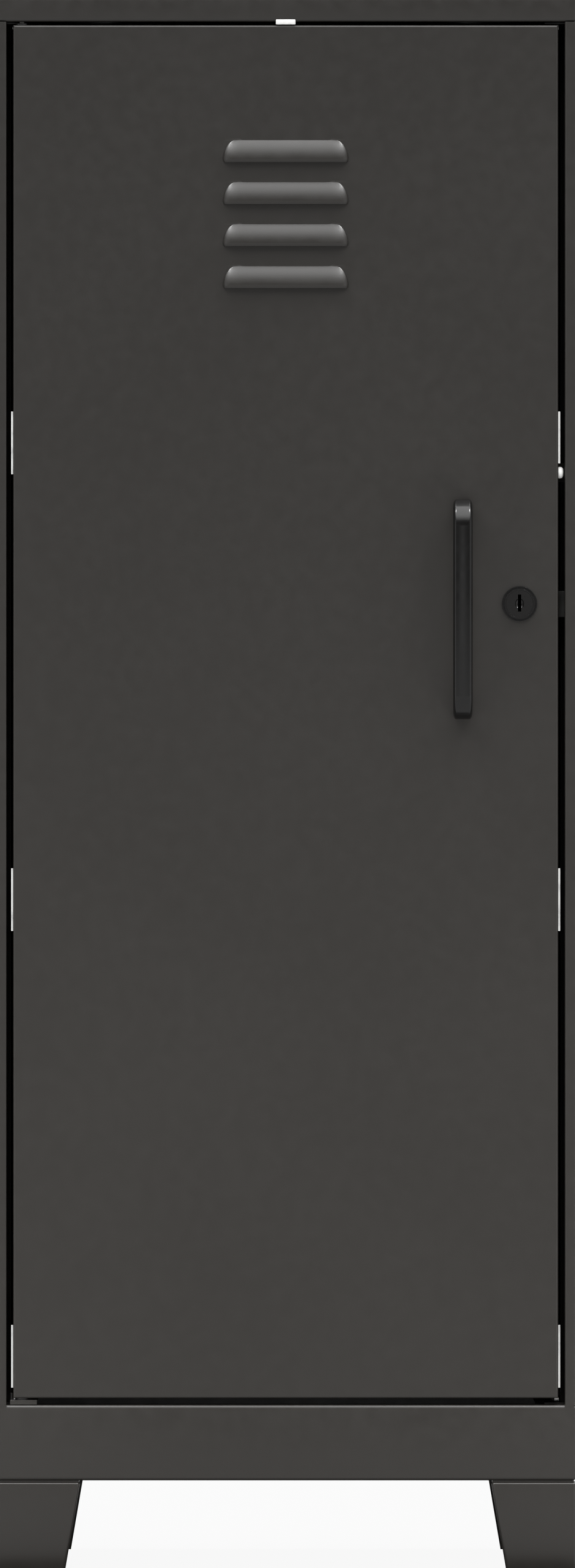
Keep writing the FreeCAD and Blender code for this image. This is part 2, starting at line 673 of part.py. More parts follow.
def make_legs():
    back_y = "front_y + cabinet_depth"
    make_leg("front_left_leg", "-half_width", "front_y", 0)
    make_leg("front_right_leg", "half_width", "front_y", 1)
    make_leg("rear_right_leg", "half_width", back_y, 2)
    make_leg("rear_left_leg", "-half_width", back_y, 3)

    grip = "leg_gauge + sheet_gauge"
    head = hexagon("leg_bolt_head_blank", "leg_bolt_head_corner", "leg_bolt_head")
    shank = primitive("Part::Cylinder", "leg_bolt_shank", Radius="leg_bolt_radius",
                      Height=f"leg_bolt_head + {grip} + leg_nut + leg_bolt_tail")
    bolt = joined("leg_bolt", head, shank)
    nut = hex_nut("leg_nut_blank", "leg_bolt_head_corner", "leg_nut", "leg_bolt_radius")
    bolts = []
    nuts = []
    for side in (-1, 1):
        for corner_y, inward in (("front_y", 1), (back_y, -1)):
            for across, along in (("leg_bolt_edge", "leg_bolt_along"), ("leg_bolt_along", "leg_bolt_edge")):
                x = f"{side} * (half_width - {across})"
                y = f"{corner_y} + {inward} * {along}"
                bolts.append((x, y, "leg_height - leg_gauge - leg_bolt_head", UPRIGHT))
                nuts.append((x, y, "leg_height + sheet_gauge", UPRIGHT))
    group("leg_bolts", bolt, bolts)
    group("leg_nuts", nut, nuts)


def make_upright(label, side, y):
    """A slotted channel on the side wall that the shelf hangers hook into."""
    body = new_body(label)
    section = sketch_on(body, "XY_Plane")
    corners = [
        ("upright_face", "0"),
        ("wall_x", "0"),
        ("wall_x", "upright_gauge"),
        ("upright_face + upright_gauge", "upright_gauge"),
        ("upright_face + upright_gauge", "upright_width - upright_gauge"),
        ("wall_x", "upright_width - upright_gauge"),
        ("wall_x", "upright_width"),
        ("upright_face", "upright_width"),
    ]
    polygon(section, [(f"{side} * ({across})", along) for across, along in corners])
    pad(body, section, "panel_height - 2 * sheet_gauge")
    slots = sketch_on(body, "YZ_Plane", f"{side} * (upright_face - upright_gauge)")
    half_slot = "hook_width / 2 + hook_fit"
    for level in range(len(SHELVES)):
        high = f"shelf_lift + {level} * shelf_pitch + hook_top - sheet_gauge + hook_fit"
        low = f"{high} - hook_drop - hanger_gauge - hook_fit"
        rectangle(slots, f"upright_width / 2 - ({half_slot})", low, f"upright_width / 2 + {half_slot}", high)
    pocket(body, slots, "3 * upright_gauge", side > 0)
    place(body, "0", y, "base_top + sheet_gauge")
    sub_part(body, label)


def make_hanger(name, side):
    """A plated hanger: a plate on the upright's face, a foot under the shelf and a hook in the slot."""
    body = new_body(name)
    section = sketch_on(body, "XZ_Plane")
    corners = [
        ("upright_face", "0"),
        ("upright_face", "hanger_height"),
        ("hanger_face", "hanger_height"),
        ("hanger_face", "hanger_gauge"),
        ("hanger_face - hanger_foot", "hanger_gauge"),
        ("hanger_face - hanger_foot", "0"),
    ]
    polygon(section, [(f"{side} * ({x})", z) for x, z in corners])
    pad(body, section, "hanger_width", True)
    hook = sketch_on(body, "XZ_Plane", "-(hanger_width - hook_width) / 2")
    behind = "upright_face + upright_gauge + hook_fit"
    corners = [
        ("upright_face", "hook_top"),
        (f"{behind} + hanger_gauge", "hook_top"),
        (f"{behind} + hanger_gauge", "hook_top - hook_drop - hanger_gauge + hook_fit"),
        (behind, "hook_top - hook_drop - hanger_gauge + hook_fit"),
        (behind, "hook_top - hanger_gauge"),
        ("upright_face", "hook_top - hanger_gauge"),
    ]
    polygon(hook, [(f"{side} * ({x})", z) for x, z in corners])
    pad(body, hook, "hook_width", True)
    return body


def make_shelves():
    """Four slotted uprights, three shelves, and four hangers under each shelf."""
    front_upright = "front_y + upright_setback"
    rear_upright = "front_y + cabinet_depth - upright_setback - upright_width"
    make_upright("front_left_upright", -1, front_upright)
    make_upright("front_right_upright", 1, front_upright)
    make_upright("rear_left_upright", -1, rear_upright)
    make_upright("rear_right_upright", 1, rear_upright)

    masters = {side: make_hanger(name, side) for name, side in (("left_hanger", -1), ("right_hanger", 1))}
    inset = "(upright_width - hanger_width) / 2"
    for level, label in enumerate(SHELVES):
        foot = f"base_top + shelf_lift + {level} * shelf_pitch"
        shelf = folded_pan(label, "XY_Plane", -1, "2 * shelf_half", "shelf_depth", "shelf_height",
                           "shelf_lip")
        place(shelf, "0", "front_y + shelf_setback + shelf_depth / 2",
              f"{foot} + hanger_gauge + shelf_height")
        sub_part(shelf, label)
        spots = [(side, f"{y} + {inset}") for side in masters for y in (front_upright, rear_upright)]
        copies = []
        for side, y in spots:
            copy = doc.addObject("App::Link", f"{label}_hanger")
            copy.LinkedObject = masters[side]
            copies.append(place(copy, "0", y, foot))
        hangers = doc.addObject("Part::Compound", f"{label}_hangers")
        hangers.Links = copies
        sub_part(hangers, f"{label}_hangers")


def make_hood(name, inset):
    """The swelling of one louvre as a quarter round with rounded ends, made smaller by the inset."""
    body = new_body(name)
    half = f"louvre_width / 2 - {inset}"
    section = sketch_on(body, "XY_Plane")
    rectangle(section, f"-({half})", f"-(louvre_radius - {inset})", half, "0")
    sweep = body.newObject("PartDesign::Revolution", f"{name}_turning")
    sweep.Profile = section
    sweep.ReferenceAxis = (section, ["H_Axis"])
    sweep.Angle = 90
    sweep.Reversed = True

    def end_arcs(edge, box, whole):
        at_end = close(box.XMin, whole.XMin) or close(box.XMax, whole.XMax)
        return at_end and box.XLength < 1e-4 and edge.Curve.TypeId == "Part::GeomCircle"

    round_edges(body, f"louvre_end - {inset}", end_arcs)
    return body


def make_door_skin():
    """The door's folded pan with its louvres, its pivot holes and the holes for handle and lock."""
    pan = folded_pan("door_pan", "XZ_Plane", -1, "2 * door_half", "door_height", "door_thickness", "door_lip")

    def shows(edge, box, whole):
        on_face = close(box.YMax, whole.YMin)
        long_edge = close(box.ZMin, whole.ZMin) or close(box.ZMax, whole.ZMax)
        side_edge = close(box.XMin, whole.XMin) or close(box.XMax, whole.XMax)
        corner = box.XLength < 1e-4 and box.ZLength < 1e-4 and long_edge and side_edge
        return (on_face and (long_edge or side_edge)) or corner

    round_edges(pan, "fold_radius", shows)
    middle = "(door_bottom + door_height / 2)"
    holes = [("handle_x", f"handle_z - {middle} + {end} * handle_screw_spread") for end in (-1, 1)]
    drill(pan, "XZ_Plane", "sheet_gauge", "3 * sheet_gauge", holes, "handle_screw_radius")
    drill(pan, "XZ_Plane", "sheet_gauge", "3 * sheet_gauge", [("lock_x", f"lock_z - {middle}")],
          "barrel_radius")
    for level in ("door_height / 2 + sheet_gauge", "2 * sheet_gauge - door_height / 2"):
        drill(pan, "XY_Plane", level, "3 * sheet_gauge", [("pivot_x", "pivot_depth")], "bush_radius")
    drill(pan, "YZ_Plane", "door_half + sheet_gauge", "3 * sheet_gauge",
          [("bumper_setback", f"bumper_z - {middle}")], "bumper_stem_radius")
    place(pan, "0", "front_y", middle)

    outer = make_hood("louvre_hood", "0")
    inner = make_hood("louvre_hollow", "sheet_gauge")
    hoods = [pan]
    hollows = []
    for i in range(LOUVRES):
        lip = f"lowest_lip + {i} * louvre_pitch"
        hood = doc.addObject("App::Link", "hood_copy")
        hood.LinkedObject = outer
        place(hood, "0", "front_y + louvre_axis", lip)
        keep = primitive("Part::Box", "in_front_of_door", Length="louvre_width", Width="louvre_radius",
                         Height="louvre_radius")
        place(keep, "-louvre_width / 2", "front_y + sheet_gauge / 2 - louvre_radius", lip)
        hoods.append(joined("hood_front", hood, keep, "Part::Common"))
        hollow = doc.addObject("App::Link", "hollow_copy")
        hollow.LinkedObject = inner
        hollows.append(place(hollow, "0", "front_y + louvre_axis", lip))
    whole = doc.addObject("Part::MultiFuse", "door_with_hoods")
    whole.Shapes = hoods
    whole.Refine = True
    windows = doc.addObject("Part::Compound", "louvre_windows")
    windows.Links = hollows
    skin = joined("door_skin", whole, windows, "Part::Cut")
    sub_part(skin, "door_skin")


def make_door_stiffener():
    body = new_body("door_stiffener")
    section = sketch_on(body, "XY_Plane")
    wall = "stiffener_half_width"
    inside = f"{wall} - sheet_gauge"
    brim = f"{wall} + stiffener_flange"
    under = "stiffener_rise - sheet_gauge"
    polygon(section, [
        (f"-({brim})", "0"), (f"-({inside})", "0"), (f"-({inside})", under),
        (inside, under), (inside, "0"), (brim, "0"),
        (brim, "sheet_gauge"), (wall, "sheet_gauge"), (wall, "stiffener_rise"),
        (f"-({wall})", "stiffener_rise"), (f"-({wall})", "sheet_gauge"), (f"-({brim})", "sheet_gauge"),
    ])
    bottom = "door_bottom + stiffener_lift"
    pad(body, section, f"lowest_lip - stiffener_gap - ({bottom})")
    place(body, "0", "front_y + sheet_gauge", bottom)
    sub_part(body, "door_stiffener")


def make_pivots():
    """Pins at the left edge of the door, in bushes that are pressed into the door's folded edges."""
    bush_profile = [
        ("pivot_pin_radius + pivot_fit", "-bush_length"),
        ("bush_radius", "-bush_length"),
        ("bush_radius", "0"),
        ("bush_head_radius", "0"),
        ("bush_head_radius", "bush_head"),
        ("pivot_pin_radius + pivot_fit", "bush_head"),
    ]
    top_bush = turned("top_pivot_bush", bush_profile)
    place(top_bush, "pivot_x", "pivot_y", "door_top")
    sub_part(top_bush, "top_pivot_bush")
    bottom_bush = turned("bottom_pivot_bush", bush_profile)
    place(bottom_bush, "pivot_x", "pivot_y", "door_bottom", UPSIDE_DOWN)
    sub_part(bottom_bush, "bottom_pivot_bush")

    top_pin = turned("top_pivot_pin", [
        ("0", "-door_top_gap - pivot_pin_reach"),
        ("pivot_pin_radius", "-door_top_gap - pivot_pin_reach"),
        ("pivot_pin_radius", "sheet_gauge"),
        ("pin_head_radius", "sheet_gauge"),
        ("pin_head_radius", "sheet_gauge + pin_head"),
        ("0", "sheet_gauge + pin_head"),
    ])
    place(top_pin, "pivot_x", "pivot_y", "panel_top")
    sub_part(top_pin, "top_pivot_pin")

    bracket = new_body("bottom_pivot_plate")
    outline = sketch_on(bracket, "XY_Plane")
    margin = "bush_radius + pivot_pin_radius"
    ear_right = "-(pivot_inset + ear_gap)"
    ear_left = f"{ear_right} - ear_gauge"
    ear_rear = "pivot_depth + ear_width"
    rectangle(outline, ear_left, f"-({margin})", f"bracket_width + {ear_left}", ear_rear)
    circle(outline, "0", "0", "pivot_pin_radius")
    pad(bracket, outline, "bracket_gauge")
    # The ear starts behind the corner of the door, which swings past it.
    ear = sketch_on(bracket, "XY_Plane")
    rectangle(ear, ear_left, "pivot_depth", ear_right, ear_rear)
    pad(bracket, ear, "ear_height")
    place(bracket, "pivot_x", "pivot_y", "base_top")
    sub_part(bracket, "bottom_pivot_plate")

    pin = primitive("Part::Cylinder", "bottom_pivot_pin", Radius="pivot_pin_radius",
                    Height="door_bottom_gap + pivot_pin_reach")
    place(pin, "pivot_x", "pivot_y", "base_top")
    sub_part(pin, "bottom_pivot_pin")


def make_handle():
    """A bow handle: a flat bar with both ends bent back to the door, held by two screws from inside."""
    body = new_body("door_handle")
    side_view = sketch_on(body, "YZ_Plane", "-handle_width / 2")
    end = "handle_length / 2"
    inner_end = f"{end} - handle_gauge"
    inner_front = "-(handle_projection - handle_gauge)"
    polygon(side_view, [
        ("0", f"-({end})"),
        ("-handle_projection", f"-({end})"),
        ("-handle_projection", end),
        ("0", end),
        ("0", inner_end),
        (inner_front, inner_end),
        (inner_front, f"-({inner_end})"),
        ("0", f"-({inner_end})"),
    ])
    pad(body, side_view, "handle_width")

    def outer_bends(edge, box, whole):
        at_front = close(box.YMax, whole.YMin)
        at_end = close(box.ZMin, whole.ZMin) or close(box.ZMax, whole.ZMax)
        return at_front and at_end and box.ZLength < 1e-4

    def inner_bends(edge, box, whole):
        across = close(box.XLength, whole.XLength) and box.YLength < 1e-4 and box.ZLength < 1e-4
        off_front = box.YMin > whole.YMin + 1
        off_door = box.YMax < whole.YMax - 1
        inside = whole.ZMin + 1 < box.ZMin and box.ZMax < whole.ZMax - 1
        return across and off_front and off_door and inside and edge.Curve.TypeId == "Part::GeomLine"

    def long_edges(edge, box, whole):
        at_side = close(box.XMin, whole.XMin) or close(box.XMax, whole.XMax)
        on_door = close(box.YMin, whole.YMax)
        return at_side and box.XLength < 1e-4 and not on_door

    round_edges(body, "handle_bend - handle_gauge", inner_bends)
    round_edges(body, "handle_bend", outer_bends)
    round_edges(body, "handle_edge", long_edges)
    holes = [("0", f"{side} * handle_screw_spread") for side in (-1, 1)]
    drill(body, "XZ_Plane", "-sheet_gauge", "handle_screw_reach + sheet_gauge", holes,
          "handle_screw_radius", True)
    place(body, "handle_x", "front_y", "handle_z")
    sub_part(body, "door_handle")

    screw = pan_screw("handle_screw", "handle_screw_radius", "handle_screw_reach + sheet_gauge",
                      "handle_screw_head_radius", "handle_screw_head")
    spots = []
    for side in (-1, 1):
        spots.append(("handle_x", "front_y + sheet_gauge",
                      f"handle_z + {side} * handle_screw_spread", POINTS_BACK))
    group("handle_screws", screw, spots)


def make_lock():
    """A cam lock: a fixed barrel with its nut, and a core that turns the cam behind the keeper."""
    face = "-bezel_rise"
    cap_seat = "plug_set_in + plug_cap - bezel_rise"
    barrel = turned("lock_barrel", [
        ("plug_cap_radius + plug_fit", face),
        ("bezel_radius - bezel_chamfer", face),
        ("bezel_radius", f"{face} + bezel_chamfer"),
        ("bezel_radius", "0"),
        ("barrel_radius", "0"),
        ("barrel_radius", "barrel_length"),
        ("plug_radius + plug_fit", "barrel_length"),
        ("plug_radius + plug_fit", f"{cap_seat} + plug_fit"),
        ("plug_cap_radius + plug_fit", f"{cap_seat} + plug_fit"),
    ])
    place(barrel, "lock_x", "front_y", "lock_z", POINTS_BACK)
    sub_part(barrel, "lock_barrel")

    nut = hex_nut("lock_nut", "lock_nut_corner", "lock_nut", "barrel_radius")
    place(nut, "lock_x", "front_y + sheet_gauge", "lock_z", POINTS_BACK)
    sub_part(nut, "lock_nut")

    cam_level = "cam_y - front_y"
    plug = turned("lock_plug", [
        ("0", "plug_set_in - bezel_rise"),
        ("plug_cap_radius", "plug_set_in - bezel_rise"),
        ("plug_cap_radius", cap_seat),
        ("plug_radius", cap_seat),
        ("plug_radius", cam_level),
        ("0", cam_level),
    ])
    tail = sketch_on(plug, "XY_Plane", cam_level)
    centred_rectangle(tail, "tail_width", "tail_width")
    pad(plug, tail, "cam_gauge")
    keyhole = sketch_on(plug, "XY_Plane", "-bezel_rise")
    slot = "keyhole_width / 2"
    ear = "keyhole_ear / 2"
    rise = "keyhole_ear_height / 2"
    tall = "keyhole_length / 2"
    polygon(keyhole, [
        (f"-{slot}", f"-{tall}"), (slot, f"-{tall}"), (slot, f"-{rise}"), (ear, f"-{rise}"),
        (ear, rise), (slot, rise), (slot, tall), (f"-{slot}", tall),
        (f"-{slot}", rise), (f"-{ear}", rise), (f"-{ear}", f"-{rise}"), (f"-{slot}", f"-{rise}"),
    ])
    pocket(plug, keyhole, "keyhole_depth", True)
    drill(plug, "XY_Plane", f"{cam_level} + 2 * cam_gauge", "cam_screw_reach + 2 * cam_gauge",
          [("0", "0")], "cam_screw_radius")
    place(plug, "lock_x", "front_y", "lock_z", POINTS_BACK)
    sub_part(plug, "lock_plug")

    cam = new_body("lock_cam")
    outline = sketch_on(cam, "XY_Plane")
    rectangle(outline, "-cam_width / 2", "-cam_hub", "cam_width / 2", "cam_length")
    centred_rectangle(outline, "tail_width", "tail_width")
    pad(cam, outline, "cam_gauge")
    round_edges(cam, "cam_corner", upright_corner)
    place(cam, "lock_x", "cam_y", "lock_z", POINTS_BACK)
    sub_part(cam, "lock_cam")

    screw = pan_screw("cam_screw", "cam_screw_radius", "cam_screw_reach",
                      "cam_screw_head_radius", "cam_screw_head")
    place(screw, "lock_x", "cam_y + cam_gauge", "lock_z", POINTS_BACK)
    sub_part(screw, "cam_screw")


def wall_bracket(label, inner_x, y, height, middle_z):
    """An angle on the right side wall whose face stands behind the edge of the door."""
    body = new_body(label)
    plan = sketch_on(body, "XY_Plane")
    polygon(plan, [
        (inner_x, "0"),
        ("wall_x", "0"),
        ("wall_x", "keeper_leg"),
        ("wall_x - keeper_gauge", "keeper_leg"),
        ("wall_x - keeper_gauge", "keeper_gauge"),
        (inner_x, "keeper_gauge"),
    ])
    pad(body, plan, height)
    place(body, "0", y, f"{middle_z} - {height} / 2")
    sub_part(body, label)


def make_keeper_and_bumpers():
    wall_bracket("latch_keeper", "door_half - keeper_reach", "keeper_y", "keeper_height", "lock_z")
    wall_bracket("stop_bracket", "door_half - stop_reach", "door_back_y + stop_gap", "stop_height",
                 "bumper_z")

    bumper = turned("edge_bumper", [
        ("0", "-sheet_gauge - bumper_tail"),
        ("bumper_stem_radius", "-sheet_gauge - bumper_tail"),
        ("bumper_stem_radius", "0"),
        ("bumper_radius", "0"),
        ("bumper_radius", "bumper_rise - bumper_slope"),
        ("bumper_radius - bumper_slope", "bumper_rise"),
        ("0", "bumper_rise"),
    ])
    place(bumper, "door_half", "front_y + bumper_setback", "bumper_z", POINTS_RIGHT)
    sub_part(bumper, "edge_bumper")

    clip = new_body("top_bumper")
    thickness = "door_top_gap - clip_gap"
    for front, rear, top in (("-clip_lip", "clip_depth", "0"), ("-clip_lip", "0", "clip_lip_rise")):
        plan = sketch_on(clip, "XY_Plane", f"-({thickness})")
        rectangle(plan, "-clip_width / 2", front, "clip_width / 2", rear)
        pad(clip, plan, f"{thickness} + {top}")
    stem = sketch_on(clip, "XY_Plane")
    circle(stem, "0", "clip_depth / 2", "clip_stem_radius")
    pad(clip, stem, "sheet_gauge + bumper_tail")
    place(clip, "0", "front_y", "panel_top")
    sub_part(clip, "top_bumper")


def check_and_write():
    doc.recompute()
    for thing in doc.Objects:
        faults = [state for state in thing.State if state in ("Invalid", "Error")]
        if faults:
            raise ValueError(f"{thing.Name} could not be built: {faults}")
    for thing in sub_parts:
        shape = thing.Shape
        if shape.isNull() or not shape.isValid() or not shape.Solids:
            raise ValueError(f"{thing.Label} has no sound shape")
    os.makedirs("parts", exist_ok=True)
    for thing in sub_parts:
        thing.Shape.exportStep(f"parts/{thing.Label}.step")


make_top_panel()
make_base_frame()
make_side_panel("left_side_panel", -1)
make_side_panel("right_side_panel", 1)
make_back_panel()
make_seam_fasteners()
make_legs()
make_shelves()
make_door_skin()
make_door_stiffener()
make_pivots()
make_handle()
make_lock()
make_keeper_and_bumpers()
check_and_write()
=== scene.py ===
import json
import math

import bmesh
import bpy
from mathutils import Matrix, Vector


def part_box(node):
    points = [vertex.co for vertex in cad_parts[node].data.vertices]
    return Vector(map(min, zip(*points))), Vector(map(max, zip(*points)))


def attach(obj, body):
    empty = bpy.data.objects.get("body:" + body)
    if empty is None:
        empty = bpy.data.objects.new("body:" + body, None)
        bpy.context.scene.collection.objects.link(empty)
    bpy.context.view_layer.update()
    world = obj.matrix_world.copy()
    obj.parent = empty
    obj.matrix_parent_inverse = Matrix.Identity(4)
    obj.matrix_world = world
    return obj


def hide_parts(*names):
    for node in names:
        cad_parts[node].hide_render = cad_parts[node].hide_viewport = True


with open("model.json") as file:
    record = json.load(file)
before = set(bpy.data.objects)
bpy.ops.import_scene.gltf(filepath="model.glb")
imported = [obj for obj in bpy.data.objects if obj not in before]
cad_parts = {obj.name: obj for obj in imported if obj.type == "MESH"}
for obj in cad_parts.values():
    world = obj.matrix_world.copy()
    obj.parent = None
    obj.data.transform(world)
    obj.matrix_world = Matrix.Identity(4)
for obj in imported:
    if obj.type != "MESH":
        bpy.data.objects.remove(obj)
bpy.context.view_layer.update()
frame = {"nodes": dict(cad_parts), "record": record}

nodes = frame["nodes"]

MM = 0.001

# The picture: 938 x 2560 pixels at 0.39 mm to a pixel, square on to the door.
PIXEL = 0.39 * MM
PICTURE_HEIGHT = 2560 * PIXEL
PICTURE_MIDDLE = (3 * PIXEL, 1282 * PIXEL)
CAMERA_DISTANCE = 15.0
SENSOR = 36.0

# Sizes of the sheet metal, and the plane of the closed door's face.
SHEET = 0.8 * MM
FOLD = 1.5 * MM
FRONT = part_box("base_frame")[0].y

# Points nearer than this are one point, and edges that turn more than this are sharp.
TOUCH = 0.001 * MM
SHARP = math.radians(30)


class Shade:
    """A socket in a material's nodes; sums, differences and products of these add Math nodes."""

    def __init__(self, tree, socket=None):
        self.tree = tree
        self.socket = socket

    def node(self, kind, settings=None, sockets=None, out=0):
        """Adds a node from its type, its settings, and the values or links of its sockets."""
        made = self.tree.nodes.new(kind)
        for name, value in (settings or {}).items():
            setattr(made, name, value)
        for key, value in (sockets or {}).items():
            if isinstance(value, Shade):
                self.tree.links.new(value.socket, made.inputs[key])
            else:
                made.inputs[key].default_value = value
        return Shade(self.tree, made.outputs[out] if made.outputs else None)

    def maths(self, operation, first, second):
        return self.node("ShaderNodeMath", {"operation": operation}, {0: first, 1: second})

    def __add__(self, other):
        return self.maths("ADD", self, other)

    __radd__ = __add__

    def __sub__(self, other):
        return self.maths("SUBTRACT", self, other)

    def __rsub__(self, other):
        return self.maths("SUBTRACT", other, self)

    def __mul__(self, other):
        return self.maths("MULTIPLY", self, other)

    __rmul__ = __mul__

    def between(self, low, high):
        """This value's place between two limits, from 0 to 1, with soft ends."""
        return self.node("ShaderNodeMapRange", {"interpolation_type": "SMOOTHSTEP"},
                         {"Value": self, "From Min": low, "From Max": high})

    def larger(self, other):
        """The larger of this value and another."""
        return self.maths("MAXIMUM", self, other)

    def tint(self, dark, light):
        """The colour at this value's place from one colour to another."""
        return self.node("ShaderNodeMix", {"data_type": "RGBA"},
                         {"Factor": self, 6: (*dark, 1), 7: (*light, 1)}, 2)


def linear(red, green, blue):
    """A colour in the renderer's units, from the 0 to 255 values of a picture."""
    def channel(v):
        v /= 255
        return v / 12.92 if v <= 0.04045 else ((v + 0.055) / 1.055) ** 2.4
    return channel(red), channel(green), channel(blue)


def new_finish(name):
    """A material with an empty node tree, and a Shade to add its nodes with."""
    material = bpy.data.materials.new(name)
    material.use_nodes = True
    material.node_tree.nodes.clear()
    return material, Shade(material.node_tree)


def put_out(tools, surface):
    """Makes a surface shader the material's output."""
    tools.node("ShaderNodeOutputMaterial", None, {"Surface": surface})


def grain(tools, place, size, detail=2.0, roughness=0.5):
    """Noise whose lumps are about the given size across."""
    return tools.node("ShaderNodeTexNoise", None,
                      {"Vector": place, "Scale": 1 / size, "Detail": detail, "Roughness": roughness})


def relief(tools, height, depth):
    """Bumps from a height; a height of 1 stands out by the given depth."""
    return tools.node("ShaderNodeBump", None, {"Strength": 1.0, "Distance": depth, "Height": height})


def powder_coat(name, dark, light, rough, texture, depth, specular):
    """Baked powder: a fine pebbled skin, slightly uneven in tone and gloss."""
    material, tools = new_finish(name)
    place = tools.node("ShaderNodeTexCoord", None, None, 3)
    pebbles = grain(tools, place, texture, 3.0, 0.55)
    flow = grain(tools, place, texture * 14, 2.0)
    cloud = grain(tools, place, 160 * MM, 3.0)
    tone = (cloud * 0.6 + flow * 0.25 + pebbles * 0.15).between(0.3, 0.7)
    gloss = (flow * 0.5 + pebbles * 0.3 + cloud * 0.2).between(0.3, 0.7)
    skin = tools.node("ShaderNodeBsdfPrincipled", None, {
        "Base Color": tone.tint(dark, light),
        "Roughness": rough + (gloss - 0.5) * 0.1,
        "Specular IOR Level": specular,
        "Normal": relief(tools, pebbles + flow * 0.8, depth),
    })
    put_out(tools, skin)
    return material


def zinc_plate():
    """Bright zinc plate over rolled strip: faint drawing lines and a soft bloom."""
    material, tools = new_finish("bright_zinc_plate")
    place = tools.node("ShaderNodeTexCoord", None, None, 3)
    drawn = tools.node("ShaderNodeMapping", None, {"Vector": place, "Scale": (1, 1, 0.04)})
    lines = grain(tools, drawn, 0.5 * MM, 2.0)
    bloom = grain(tools, place, 7 * MM, 3.0)
    tone = (bloom * 0.7 + lines * 0.3).between(0.3, 0.7)
    metal = tools.node("ShaderNodeBsdfPrincipled", None, {
        "Base Color": tone.tint((0.78, 0.78, 0.76), (0.92, 0.92, 0.91)),
        "Metallic": 1.0,
        "Roughness": 0.1 + bloom.between(0.35, 0.75) * 0.08,
        "Normal": relief(tools, lines, 0.004 * MM),
    })
    put_out(tools, metal)
    return material


def bare_steel(name, dark, light):
    """Turned steel, unplated and dull, with fine turning marks."""
    material, tools = new_finish(name)
    place = tools.node("ShaderNodeTexCoord", None, None, 3)
    film = grain(tools, place, 1.5 * MM, 3.0)
    marks = grain(tools, place, 0.15 * MM, 2.0)
    metal = tools.node("ShaderNodeBsdfPrincipled", None, {
        "Base Color": film.between(0.3, 0.7).tint(dark, light),
        "Metallic": 1.0,
        "Roughness": 0.42 + marks * 0.15,
        "Normal": relief(tools, marks, 0.006 * MM),
    })
    put_out(tools, metal)
    return material


def nylon(name, dark, light):
    """Moulded nylon with a soft sheen."""
    material, tools = new_finish(name)
    place = tools.node("ShaderNodeTexCoord", None, None, 3)
    haze = grain(tools, place, 2.5 * MM, 2.0)
    speck = grain(tools, place, 0.25 * MM, 2.0)
    plastic = tools.node("ShaderNodeBsdfPrincipled", None, {
        "Base Color": haze.between(0.3, 0.7).tint(dark, light),
        "Roughness": 0.32 + speck * 0.12,
        "Normal": relief(tools, speck, 0.01 * MM),
    })
    put_out(tools, plastic)
    return material


def make_floor():
    """A pale floor, white to the camera and in reflections except under the locker, where a painted shadow
    makes it dark in its own colour and in reflections.
    """
    material, tools = new_finish("pale_floor")
    white = tools.node("ShaderNodeEmission", None, {"Color": (1, 1, 1, 1), "Strength": 1.0})
    camera, mirrored = seen_directly(tools)
    place = tools.node("ShaderNodeTexCoord", None, None, 3)
    across, along = (tools.node("ShaderNodeSeparateXYZ", None, {0: place}, k) for k in range(2))
    half_width, half_depth = 0.19, 0.205
    beyond = (across * across * (1 / half_width ** 2)).larger(along * along * (1 / half_depth ** 2))
    open_floor = beyond.between(0.9, 1.15)
    # Painted shadow: the floor's own colour is darker under the locker, and the same mask keeps the white out
    # of its reflections there.
    painted_shadow_colour, bare = (0.02, 0.02, 0.02), (0.15, 0.15, 0.15)
    chalk = tools.node("ShaderNodeBsdfDiffuse", None, {"Color": open_floor.tint(painted_shadow_colour, bare)})
    white_to_camera, white_in_mirrors = 0.93, 0.7
    share = (camera * white_to_camera).larger(mirrored * open_floor * white_in_mirrors)
    put_out(tools, tools.node("ShaderNodeMixShader", None, {0: share, 1: chalk, 2: white}))
    mesh = bpy.data.meshes.new("floor")
    reach = 40.0
    mesh.from_pydata([(-reach, -reach, 0), (reach, -reach, 0), (reach, reach, 0), (-reach, reach, 0)], [],
                     [(0, 1, 2, 3)])
    mesh.materials.append(material)
    floor = bpy.data.objects.new("floor", mesh)
    bpy.context.scene.collection.objects.link(floor)


